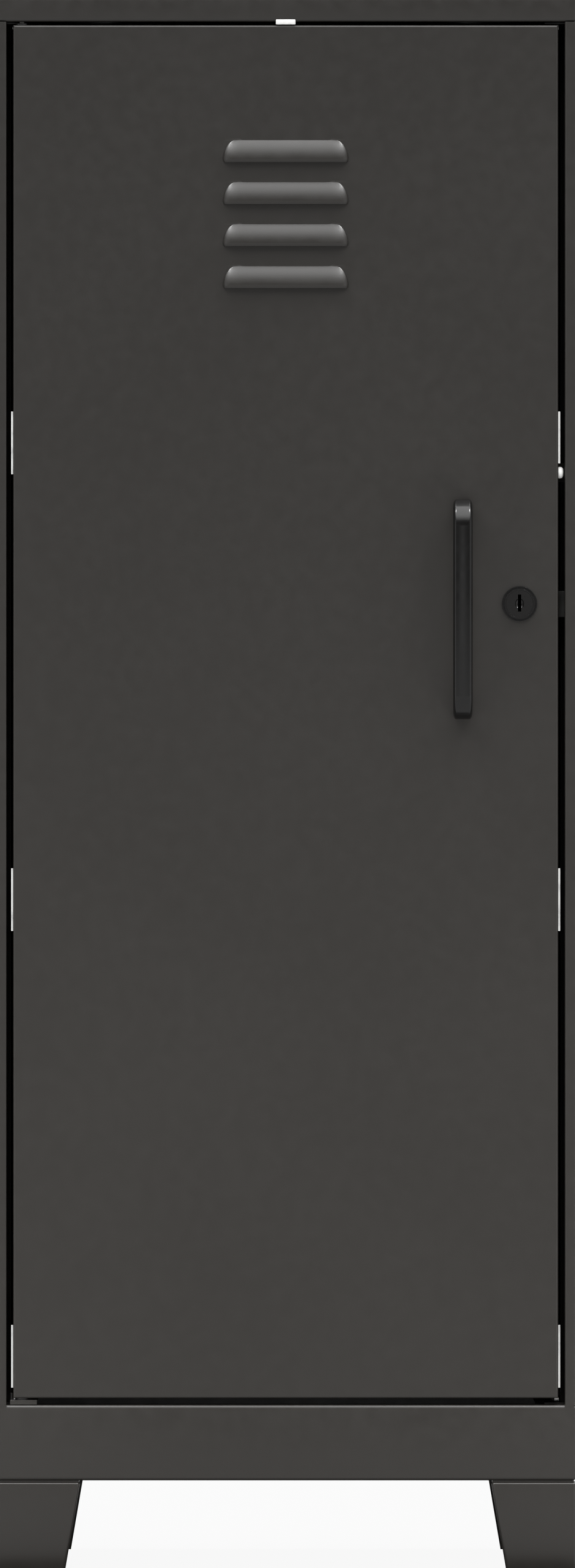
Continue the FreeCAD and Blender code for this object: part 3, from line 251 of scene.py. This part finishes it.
def make_light():
    """A dim room with a bright ceiling and a white backdrop, side strips, and lamps high and low in front."""
    world = bpy.data.worlds.new("studio")
    world.use_nodes = True
    world.node_tree.nodes.clear()
    tools = Shade(world.node_tree)
    direction = tools.node("ShaderNodeTexCoord", None, None, 0)
    across, away, height = (tools.node("ShaderNodeSeparateXYZ", None, {0: direction}, k) for k in range(3))
    dim, ceiling = 0.14, 4.15
    room = dim + height.between(0.32, 0.8) * ceiling
    backdrop = away.between(-0.1, 0.4)
    side_cards = (across * across).between(0.12, 0.3) * 0.5
    white_card = (0.0 - away).between(0.995, 0.998)
    camera, mirrored = seen_directly(tools)
    lit = {"Color": (1, 1, 1, 1)}
    soft = tools.node("ShaderNodeBackground", None, {**lit, "Strength": room})
    cards = backdrop.larger(side_cards).larger(white_card)
    mirror = tools.node("ShaderNodeBackground", None, {**lit, "Strength": room.larger(cards)})
    white = tools.node("ShaderNodeBackground", None, {**lit, "Strength": 1.0})
    around = tools.node("ShaderNodeMixShader", None, {0: mirrored, 1: soft, 2: mirror})
    tools.node("ShaderNodeOutputWorld", None,
               {"Surface": tools.node("ShaderNodeMixShader", None, {0: camera, 1: around, 2: white})})
    bpy.context.scene.world = world
    louvres, middle, bottom = (0, FRONT, 0.87), (0, FRONT, 0.55), (0, FRONT, 0.25)
    for side, name in ((-1, "left"), (1, "right")):
        high = add_lamp(f"high_{name}_lamp", (side * 1.0, -0.75, 2.7), louvres, size=(0.5, 0.4), power=44)
        high.visible_diffuse = False
        add_lamp(f"{name}_strip", (side * 2.2, -1.4, 0.7), middle, size=(0.4, 1.6), power=3)
        low = add_lamp(f"low_{name}_lamp", (side * 0.5, -0.7, 0.12), bottom, size=(0.3, 0.2), power=2.2)
        low.visible_glossy = False


def make_camera():
    """A long lens, square on to the door."""
    data = bpy.data.cameras.new("camera")
    data.sensor_width = SENSOR
    data.lens = SENSOR * CAMERA_DISTANCE / PICTURE_HEIGHT
    data.clip_end = 100
    camera = bpy.data.objects.new("camera", data)
    camera.location = (PICTURE_MIDDLE[0], FRONT - CAMERA_DISTANCE, PICTURE_MIDDLE[1])
    camera.rotation_euler = (math.radians(90), 0, 0)
    bpy.context.scene.collection.objects.link(camera)
    bpy.context.scene.camera = camera
    bpy.context.scene.view_settings.view_transform = "Standard"


def seen_directly(tools):
    """1 for a ray from the camera, and 1 for a ray from a mirror or through glass."""
    ray = "ShaderNodeLightPath"
    camera = tools.node(ray, None, None, 0)
    glossy = tools.node(ray, None, None, 3)
    through = tools.node(ray, None, None, 6)
    return camera, glossy.larger(through)


def add_lamp(name, place, target, size, power):
    """A soft box of the given width and height, turned to its target."""
    data = bpy.data.lights.new(name, "AREA")
    data.shape = "RECTANGLE"
    data.size, data.size_y = size
    data.energy = power
    lamp = bpy.data.objects.new(name, data)
    lamp.location = place
    lamp.rotation_mode = "QUATERNION"
    lamp.rotation_quaternion = (Vector(target) - Vector(place)).to_track_quat("-Z", "Y")
    bpy.context.scene.collection.objects.link(lamp)
    return lamp


def piece(name, shape, node, finish=None):
    """A finished shape as a piece of the locker, in the place of a CAD node."""
    bmesh.ops.remove_doubles(shape, verts=shape.verts, dist=TOUCH)
    bmesh.ops.recalc_face_normals(shape, faces=shape.faces)
    mesh = bpy.data.meshes.new(name)
    shape.to_mesh(mesh)
    shape.free()
    mesh.materials.append(finish or finishes[slot_of[node]])
    for face in mesh.polygons:
        face.use_smooth = True
    mesh.set_sharp_from_angle(angle=SHARP)
    made = bpy.data.objects.new(name, mesh)
    bpy.context.scene.collection.objects.link(made)
    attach(made, body_of[node])
    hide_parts(node)
    return made


def thicken(made):
    """Gives a sheet its gauge, measured in from its outside."""
    wall = made.modifiers.new("sheet", "SOLIDIFY")
    wall.thickness = SHEET
    wall.offset = -1
    wall.use_even_offset = True
    solid = bpy.data.meshes.new_from_object(made.evaluated_get(bpy.context.evaluated_depsgraph_get()))
    solid.set_sharp_from_angle(angle=SHARP)
    made.modifiers.clear()
    made.data = solid


def skin_between(shape, rings, close=True):
    """Quads between neighbouring rings of points; close joins the ends of each ring."""
    made = [[shape.verts.new(point) for point in ring] for ring in rings]
    for lower, upper in zip(made, made[1:]):
        count = len(lower)
        for i in range(count if close else count - 1):
            j = (i + 1) % count
            shape.faces.new((lower[i], lower[j], upper[j], upper[i]))
    return made


def soften(corners, steps=5):
    """A line through corners (x, y, radius) with each corner rounded off."""
    line = []
    for k, (x, y, radius) in enumerate(corners):
        here = Vector((x, y))
        if radius == 0 or k in (0, len(corners) - 1):
            line.append(here)
            continue
        back = (Vector(corners[k - 1][:2]) - here).normalized()
        ahead = (Vector(corners[k + 1][:2]) - here).normalized()
        half_angle = back.angle(ahead) / 2
        reach = radius / math.tan(half_angle)
        middle = here + (back + ahead).normalized() * radius / math.sin(half_angle)
        start, end = here + back * reach, here + ahead * reach
        first, last = start - middle, end - middle
        sweep = first.angle_signed(last)
        for i in range(steps + 1):
            turn = Matrix.Rotation(-sweep * i / steps, 2)
            line.append(middle + turn @ first)
    return line


def turned(shape, profile, origin, along, segments=56):
    """Turns a profile of (radius, distance) about an axis that starts at the origin."""
    along = Vector(along)
    across = along.orthogonal().normalized()
    upward = along.cross(across)
    rings = []
    for radius, distance in profile:
        middle = Vector(origin) + along * distance
        ring = []
        for i in range(segments):
            a = 2 * math.pi * i / segments
            ring.append(middle + (across * math.cos(a) + upward * math.sin(a)) * max(radius, 0))
        rings.append(ring)
    return skin_between(shape, rings)


# The louvres: their sizes, their places down from the door's top, and how their ends and lips curl in.
LOUVRE_WIDTH = 80.4 * MM
LOUVRE_RISE = 14 * MM
LOUVRE_DEPTH = 4.5 * MM
LOUVRE_PITCH = 26.75 * MM
LOUVRE_DROP = 73.3 * MM
LOUVRES = 4
END_INSET = 8.6 * MM
END_RUN = 9.5 * MM
END_CURL = 0.8 * MM
CURL_RISE = 3.5 * MM
LIP_CURL = 0.9 * MM
LIP_RISE = 2.4 * MM


def louvre_columns(half, steps=9, middle=20):
    """Places across one louvre, and how far its swelling has come up at each."""
    ends = [math.pi / 2 * i / steps for i in range(steps + 1)]
    left = [(-half + END_RUN * (1 - math.cos(a)), math.sin(a)) for a in ends]
    right = [(-x, rise) for x, rise in reversed(left)]
    inner = half - END_RUN
    flat = [(-inner + 2 * inner * i / middle, 1.0) for i in range(1, middle)]
    return left + flat + right


def door_face_rows(half, low, high, top):
    """Rows of points of the door's face from the bottom up, and whether a slit opens below each."""
    arc_radius = (LOUVRE_RISE ** 2 + LOUVRE_DEPTH ** 2) / (2 * LOUVRE_DEPTH)
    arc_middle = arc_radius - LOUVRE_DEPTH
    wide = LOUVRE_WIDTH / 2
    lip_wide = wide - END_CURL
    rim = 1.5 * MM
    # Columns at the sides of the louvres, which keep their swelling out of the flat.
    margins = [-half, -half + rim, -half * 0.62, -wide - 7 * MM, -wide - 2.5 * MM]

    def row(z, width, depth):
        across = [(x, depth * rise) for x, rise in louvre_columns(width)]
        left = [(x, 0.0) for x in margins]
        right = [(-x, 0.0) for x in reversed(margins)]
        return [Vector((x, FRONT - out, z)) for x, out in left + across + right]

    rows = [(row(low + lift, wide, 0.0), False) for lift in (0, rim, 60 * MM, 300 * MM, 540 * MM)]
    for i in reversed(range(LOUVRES)):
        lip = top - LOUVRE_DROP - LOUVRE_RISE - i * LOUVRE_PITCH
        rows.append((row(lip - 3 * MM, wide, 0.0), False))
        rows.append((row(lip, lip_wide, 0.0), False))
        steps = 16
        swell = [math.sin(math.pi / 2 * k / steps) for k in range(2, steps + 1)]
        for share in [0, 0.03, 0.06, 0.1, 0.14] + swell:
            z = LOUVRE_RISE * share
            tuck = LIP_CURL * max(0.0, 1 - z / LIP_RISE) ** 2
            out = max(0.0, math.sqrt(arc_radius ** 2 - z ** 2) - arc_middle - tuck)
            inset = END_INSET * (1 - math.sqrt(1 - share ** 2)) + END_CURL * max(0.0, 1 - z / CURL_RISE) ** 2
            rows.append((row(lip + z, wide - inset, out), share == 0))
        crown, fade = lip + LOUVRE_RISE, 5.5 * MM
        for share in (0.35, 0.7, 1.0):
            rows.append((row(crown + fade * share, wide - END_INSET * (1 - share), 0.0), False))
    rows += [(row(z, wide, 0.0), False) for z in (high - rim, high)]
    return rows


def make_door_skin():
    """The door's pan: a face with pressed louvres, rolled edges all round and lips turned in at the back."""
    box_low, box_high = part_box("door_skin")
    half, low, high, back = box_high.x, box_low.z, box_high.z, box_high.y
    shape = bmesh.new()
    grid = []
    for points, slit in door_face_rows(half - FOLD, low + FOLD, high - FOLD, high):
        line = []
        for i, point in enumerate(points):
            shared = slit and (grid[-1][i].co - point).length < TOUCH
            line.append(grid[-1][i] if shared else shape.verts.new(point))
        if grid and not slit:
            for i in range(len(line) - 1):
                shape.faces.new((grid[-1][i], grid[-1][i + 1], line[i + 1], line[i]))
        grid.append(line)

    uprights = [line for k, line in enumerate(grid) if k == 0 or line[0] is not grid[k - 1][0]]
    sides = [
        (grid[0], Vector((0, 0, -1))),
        ([line[-1] for line in uprights], Vector((1, 0, 0))),
        (grid[-1][::-1], Vector((0, 0, 1))),
        ([line[0] for line in uprights[::-1]], Vector((-1, 0, 0))),
    ]
    lip = 14 * MM
    section = soften([
        (0, FRONT, 0),
        (FOLD, FRONT, FOLD * 0.999),
        (FOLD, back, FOLD),
        (FOLD - lip, back, 0),
    ])[1:]
    rim = [[vert for verts, way in sides for vert in verts]]
    for out, y in section:
        ring = []
        reach, foot, head = half - FOLD + out, low + FOLD - out, high - FOLD + out
        for k, (verts, way) in enumerate(sides):
            before, after = sides[k - 1][1], sides[(k + 1) % 4][1]
            for n, vert in enumerate(verts):
                corner = before * (n == 0) + after * (n == len(verts) - 1)
                x, _, z = vert.co + (way + corner) * out
                ring.append(shape.verts.new((max(-reach, min(reach, x)), y, max(foot, min(head, z)))))
        rim.append(ring)
    for lower, upper in zip(rim, rim[1:]):
        for i in range(len(lower)):
            j = (i + 1) % len(lower)
            if not (together(lower[i], lower[j]) and together(upper[i], upper[j])):
                shape.faces.new((lower[i], lower[j], upper[j], upper[i]))
    cut_lock_hole(shape)
    thicken(piece("door_skin_pressed", shape, "door_skin"))


def together(first, second):
    """Whether two points of a shape are in the same place."""
    return (first.co - second.co).length < TOUCH


def cut_lock_hole(shape, segments=48):
    """Opens a round hole for the lock in the flat of the door's face."""
    low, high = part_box("lock_barrel")
    x, z = (low.x + high.x) / 2, (low.z + high.z) / 2
    radius = 9.1 * MM

    def around(face):
        wide = [vert.co.x for vert in face.verts]
        tall = [vert.co.z for vert in face.verts]
        level = all(abs(vert.co.y - FRONT) < TOUCH for vert in face.verts)
        return level and min(wide) < x < max(wide) and min(tall) < z < max(tall)

    flat = [face for face in shape.faces if around(face)]
    edges = [edge for face in flat for edge in face.edges]
    bmesh.ops.delete(shape, geom=flat, context="FACES_ONLY")
    angles = [2 * math.pi * i / segments for i in range(segments)]
    rim = [shape.verts.new((x + radius * math.cos(a), FRONT, z + radius * math.sin(a))) for a in angles]
    edges += [shape.edges.new((rim[i - 1], rim[i])) for i in range(segments)]
    bmesh.ops.triangle_fill(shape, use_beauty=True, edges=edges, normal=(0, -1, 0))


def make_handle():
    """A bow handle: a bar with rounded edges, bent back to the door at both ends."""
    low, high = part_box("door_handle")
    middle_x = (low.x + high.x) / 2
    width = high.x - low.x
    gauge, upper_bend, lower_bend = 6.5 * MM, 17 * MM, 15 * MM
    half = gauge / 2
    line = soften([
        (FRONT, high.z - half, 0),
        (low.y + half, high.z - half, upper_bend - half),
        (low.y + half, low.z + half, lower_bend - half),
        (FRONT, low.z + half, 0),
    ], steps=14)
    side = width / 2
    brow, brow_depth, rear_edge, steps = 2.2 * MM, 4.8 * MM, 1.6 * MM, 10
    front = []
    for i in range(steps + 1):
        a = math.pi / 2 * i / steps
        front.append((side - brow * (1 - math.sin(a)), half - brow_depth * (1 - math.cos(a))))
    rear = [(p.x, p.y) for p in soften([(side, 0, 0), (side, -half, rear_edge), (0, -half, 0)])[1:]]
    right = front + rear
    section = right + [(-x, out) for x, out in reversed(right[:-1])]
    rings = []
    for k, here in enumerate(line):
        ahead = line[min(k + 1, len(line) - 1)] - line[max(k - 1, 0)]
        outward = Vector((0, ahead.y, -ahead.x)).normalized()
        place = Vector((middle_x, here.x, here.y))
        rings.append([place + Vector((x, 0, 0)) + outward * out for x, out in section])
    shape = bmesh.new()
    made = skin_between(shape, rings)
    for end in (made[0], made[-1]):
        shape.faces.new(end)
    piece("door_handle_bow", shape, "door_handle")


def make_lock():
    """The lock's ring and body, and the turning face with its keyhole and the core behind it."""
    low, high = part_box("lock_barrel")
    middle = Vector(((low.x + high.x) / 2, FRONT, (low.z + high.z) / 2))
    forward = (0, -1, 0)
    body, root, bore, seat, ring = 9.0 * MM, 8.55 * MM, 6.1 * MM, 8.76 * MM, 11.2 * MM
    ring_face, groove, lip, end = 2.95 * MM, 0.3 * MM, 1.3 * MM, -19 * MM
    shape = bmesh.new()
    threads = []
    for k in range(10):
        depth = (6 + k) * MM
        threads += [(body, -depth, 0), (root, -depth - 0.5 * MM, 0)]
    profile = soften([
        (seat, 1.0 * MM, 0),
        (seat, ring_face, 0.04 * MM),
        (9.6 * MM, ring_face, 0.04 * MM),
        (9.65 * MM, groove, 0),
        (10.7 * MM, groove, 0),
        (10.75 * MM, lip, 0),
        (ring, lip, 0.03 * MM),
        (ring, 0, 0),
        (body, 0, 0.1 * MM),
        *threads,
        (body, -18 * MM, 0),
        (8.4 * MM, end, 0.2 * MM),
        (bore, end, 0.1 * MM),
        (bore, 0.4 * MM, 0.1 * MM),
        (seat, 0.4 * MM, 0.05 * MM),
        (seat, 1.0 * MM, 0),
    ])
    turned(shape, profile, middle, forward)
    piece("lock_barrel_turned", shape, "lock_barrel")

    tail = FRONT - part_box("lock_plug")[1].y
    face, disc, core, under = 2.85 * MM, 8.7 * MM, 5.95 * MM, 0.6 * MM
    shape = bmesh.new()
    cap = turned(shape, soften([
        (8.6 * MM, face, 0),
        (disc, face, 0.05 * MM),
        (disc, under, 0.1 * MM),
        (core, under, 0.1 * MM),
        (core, tail, 0.4 * MM),
        (0, tail, 0),
    ]), middle, forward)
    cut_keyhole(shape, cap[0], middle, face)
    piece("lock_plug_turned", shape, "lock_plug")


def cut_keyhole(shape, rim, middle, face):
    """Closes the turning face inside its rim, with a keyhole: a deep slot through a shallow bowl."""
    slot, foot, head, deep = 1.05 * MM, -5.0 * MM, 6.0 * MM, 14 * MM
    bowl_wide, bowl_tall, bowl_deep = 2.8 * MM, 3.0 * MM, 1.3 * MM
    rings, steps = 6, 12

    def spot(x, z, depth):
        return shape.verts.new(middle + Vector((x, depth - face, z)))

    outline, walls = [], []
    for side in (1, -1):
        bowl = []
        for k in range(rings + 1):
            share = 1 - k / rings
            depth = bowl_deep * math.sqrt(1 - share ** 2)
            turns = [math.pi * (i / steps - 0.5) for i in range(steps + 1)] if share > 0 else [0.0]
            bowl.append([spot(side * (slot + (bowl_wide - slot) * share * math.cos(a)),
                              bowl_tall * share * math.sin(a), depth) for a in turns])
        for outer, inner in zip(bowl, bowl[1:]):
            for i in range(steps):
                within = [inner[i + 1], inner[i]] if len(inner) > 1 else inner
                shape.faces.new([outer[i], outer[i + 1], *within])
        bottom, top = spot(side * slot, foot, 0), spot(side * slot, head, 0)
        wall = [bottom] + [ring[0] for ring in bowl] + [ring[-1] for ring in bowl[-2::-1]] + [top]
        walls.append(wall)
        edge = [bottom] + bowl[0] + [top]
        outline += edge if side > 0 else edge[::-1]
    count = len(outline)
    edges = []
    for i in range(count):
        pair = (outline[i - 1], outline[i])
        edges.append(shape.edges.get(pair) or shape.edges.new(pair))
    edges += [shape.edges.get((rim[i - 1], rim[i])) for i in range(len(rim))]
    bmesh.ops.triangle_fill(shape, use_beauty=True, edges=edges, normal=(0, -1, 0))
    loop = walls[0] + walls[1][::-1]
    slope = 0.6
    back = [shape.verts.new((vert.co.x, middle.y - face + deep + slope * (vert.co.z - middle.z), vert.co.z))
            for vert in loop]
    for i in range(len(loop)):
        shape.faces.new((loop[i - 1], loop[i], back[i], back[i - 1]))
    shape.faces.new(back)


def swept_frame(shape, low, high, section, steps=4):
    """Carries a section (out, height) round an upright box's plan, with rounded outside corners."""
    rings = []
    for out, z in section:
        radius = FOLD + out
        ring = []
        for quarter, (right, rear) in enumerate(((1, 1), (-1, 1), (-1, -1), (1, -1))):
            pivot = Vector((high.x - FOLD if right > 0 else low.x + FOLD,
                            high.y - FOLD if rear > 0 else low.y + FOLD, z))
            for i in range(steps + 1):
                a = math.pi / 2 * (quarter + i / steps)
                swing = Vector((math.cos(a), math.sin(a), 0)) if radius > 0 else Vector((right, rear, 0))
                ring.append(pivot + swing * radius)
        rings.append(ring)
    return skin_between(shape, rings)


def make_base_frame():
    """The base: a rail all round, rolled over softly into returns at the top and the bottom."""
    low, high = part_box("base_frame")
    lip, roll = 26 * MM, 2.4 * MM
    shape = bmesh.new()
    swept_frame(shape, low, high, soften([
        (-lip, high.z, 0),
        (0, high.z, roll),
        (0, low.z, roll),
        (-lip, low.z, 0),
    ]))
    thicken(piece("base_frame_folded", shape, "base_frame"))


def make_top_panel():
    """The top: a flat face with its rim rolled over and a return turned in below."""
    low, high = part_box("top_panel")
    lip, upper_roll, lower_roll = 34 * MM, 0.9 * MM, 2.2 * MM
    shape = bmesh.new()
    rings = swept_frame(shape, low, high, soften([
        (-FOLD * 1.001, high.z, 0),
        (0, high.z, upper_roll),
        (0, low.z, lower_roll),
        (-lip, low.z, 0),
    ]))
    count = len(rings[0]) // 4
    shape.faces.new([rings[0][count * k] for k in range(4)])
    thicken(piece("top_panel_folded", shape, "top_panel"))


def make_side_panel(node, side):
    """A side wall: its front folded round into the stile, its rear and its ends turned in.

    The stile laps a little way down over the rolled edge of the base rail.
    """
    low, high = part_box(node)
    outside = max(abs(low.x), abs(high.x))
    stile, stile_depth, rear, flange, setback = 7.4 * MM, 15 * MM, 16 * MM, 20 * MM, 22 * MM
    section = soften([
        (outside - rear, high.y, 0),
        (outside, high.y, FOLD),
        (outside, low.y, FOLD),
        (outside - stile, low.y, FOLD),
        (outside - stile, low.y + stile_depth, 0),
    ])
    shape = bmesh.new()
    skin_between(shape, [[(side * p.x, p.y, z) for p in section] for z in (low.z, high.z)], close=False)
    made = piece(f"{node}_folded", shape, node)
    thicken(made)
    wall, inner = side * (outside - SHEET), side * (outside - flange)
    ends = [(low.z, low.z + SHEET), (high.z - SHEET, high.z)]
    slabs = [((wall, low.y + setback, a), (inner, high.y - 2 * SHEET, b)) for a, b in ends]
    tongue = low.z - 1.8 * MM
    slabs.append(((side * (outside - FOLD), low.y, tongue), (side * (outside - stile), low.y + SHEET, low.z)))
    add_slabs(made, slabs)


def add_slabs(made, corners):
    """Adds flat flanges to a piece, each from two opposite corners."""
    shape = bmesh.new()
    shape.from_mesh(made.data)
    for (x0, y0, z0), (x1, y1, z1) in corners:
        plan = [(x0, y0), (x1, y0), (x1, y1), (x0, y1)]
        lower, upper = skin_between(shape, [[(x, y, z) for x, y in plan] for z in (z0, z1)])
        shape.faces.new(lower)
        shape.faces.new(upper)
    bmesh.ops.recalc_face_normals(shape, faces=shape.faces)
    shape.to_mesh(made.data)
    shape.free()
    made.data.set_sharp_from_angle(angle=SHARP)


def make_leg(node):
    """A leg whose rim stands a little below the base, on a seat set in from the rim's outside."""
    seat, outer, inner = 1.4 * MM, 3 * MM, 0.5 * MM
    low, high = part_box(node)
    left, front = "left" in node, "front" in node
    made = ease(node, 0.4 * MM, seat)
    add_slabs(made, [(
        (low.x + (outer if left else inner), low.y + (outer if front else inner), high.z - seat),
        (high.x - (inner if left else outer), high.y - (inner if front else outer), high.z),
    )])


def ease(node, radius, drop=0.0):
    """The shape of a CAD node with its sharp edges worn round, and its top set down if asked."""
    level, keen = math.radians(0.5), math.radians(35)
    shape = bmesh.new()
    shape.from_mesh(nodes[node].data)
    bmesh.ops.remove_doubles(shape, verts=shape.verts, dist=2 * TOUCH)
    bmesh.ops.dissolve_limit(shape, angle_limit=level, verts=shape.verts, edges=shape.edges)
    worn = [edge for edge in shape.edges if edge.is_manifold and edge.calc_face_angle() > keen]
    bmesh.ops.bevel(shape, geom=worn, offset=radius, offset_type="OFFSET", segments=2, profile=0.5,
                    affect="EDGES", clamp_overlap=True)
    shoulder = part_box(node)[1].z - 3 * MM
    head = [vert for vert in shape.verts if drop and vert.co.z > shoulder]
    bmesh.ops.translate(shape, verts=head, vec=(0, 0, -drop))
    return piece(f"{node}_eased", shape, node, special_finish(node))


def special_finish(node):
    """The darker coat inside the case, which is painted shade, or the pins' steel, which is painted shade on
    the top pin and a painted highlight on the bottom one; None for the others.
    """
    return painted_shade_coat if node in INSIDE else pin_steel.get(node)


# The nodes with the darker inside coat, which is painted shade, and the nodes whose edges are worn, with the
# radius of the wear.
INSIDE = (
    "front_left_upright", "front_right_upright", "rear_left_upright", "rear_right_upright",
    "door_stiffener", "stop_bracket", "floor_shelf", "lower_shelf", "upper_shelf",
)
EASED = {
    "bottom_pivot_plate": 0.9 * MM,
    "edge_bumper": 0.5 * MM,
    "top_bumper": 0.45 * MM,
    "latch_keeper": 0.35 * MM,
    "stop_bracket": 0.35 * MM,
    "floor_shelf": 0.35 * MM,
    "lower_shelf": 0.35 * MM,
    "upper_shelf": 0.35 * MM,
    "door_stiffener": 0.3 * MM,
    "lock_cam": 0.4 * MM,
    "lock_nut": 0.4 * MM,
    "back_panel_rivets": 0.4 * MM,
}

slot_of = {part["node"]: part["material_slot"] for part in frame["record"]["subparts"]}
body_of = {node: body for body, names in frame["record"]["behaviour"]["bodies"].items() for node in names}

make_floor()
make_light()
make_camera()

finishes = {
    "dark_powder_coat": powder_coat("anthracite_powder_coat", linear(38, 36, 33.5), linear(40, 38, 35.5),
                                    rough=0.35, texture=0.6 * MM, depth=0.03 * MM, specular=0.44),
    "zinc_plate": zinc_plate(),
    "white_nylon": nylon("moulded_white_nylon", (0.82, 0.82, 0.80), (0.9, 0.9, 0.885)),
    "black_nylon": nylon("moulded_black_nylon", (0.012, 0.012, 0.012), (0.02, 0.02, 0.019)),
    "handle_black": powder_coat("handle_satin_coat", linear(12, 11.5, 11), linear(14, 13.5, 13),
                                rough=0.18, texture=0.4 * MM, depth=0.006 * MM, specular=0.38),
    "lock_black": powder_coat("lock_black_plate", linear(14, 13, 12.5), linear(16, 15, 14.5),
                              rough=0.28, texture=0.3 * MM, depth=0.006 * MM, specular=0.33),
}
# Painted light: both pins are the same steel; the top pin's is darker as painted shade and the bottom pin's
# lighter as a painted highlight.
pin_steel = {
    "top_pivot_pin": bare_steel("pin_steel_painted_shade", (0.07, 0.068, 0.065), (0.13, 0.127, 0.122)),
    "bottom_pivot_pin": bare_steel("pin_steel_painted_highlight", (0.22, 0.218, 0.214), (0.4, 0.397, 0.39)),
}
# Painted shade: a darker, duller copy of the powder coat for the parts seen deep inside the case through the
# door's gaps.
painted_shade_coat = powder_coat("inside_painted_shade_coat", linear(26, 25, 23), linear(30, 28, 26),
                       rough=0.75, texture=0.8 * MM, depth=0.04 * MM, specular=0.15)
for node, slot in slot_of.items():
    nodes[node].data.materials.clear()
    nodes[node].data.materials.append(special_finish(node) or finishes[slot])

make_door_skin()
make_handle()
make_lock()
make_base_frame()
make_top_panel()
make_side_panel("left_side_panel", -1)
make_side_panel("right_side_panel", 1)
for node in ("front_left_leg", "front_right_leg", "rear_left_leg", "rear_right_leg"):
    make_leg(node)
for node, radius in EASED.items():
    ease(node, radius)
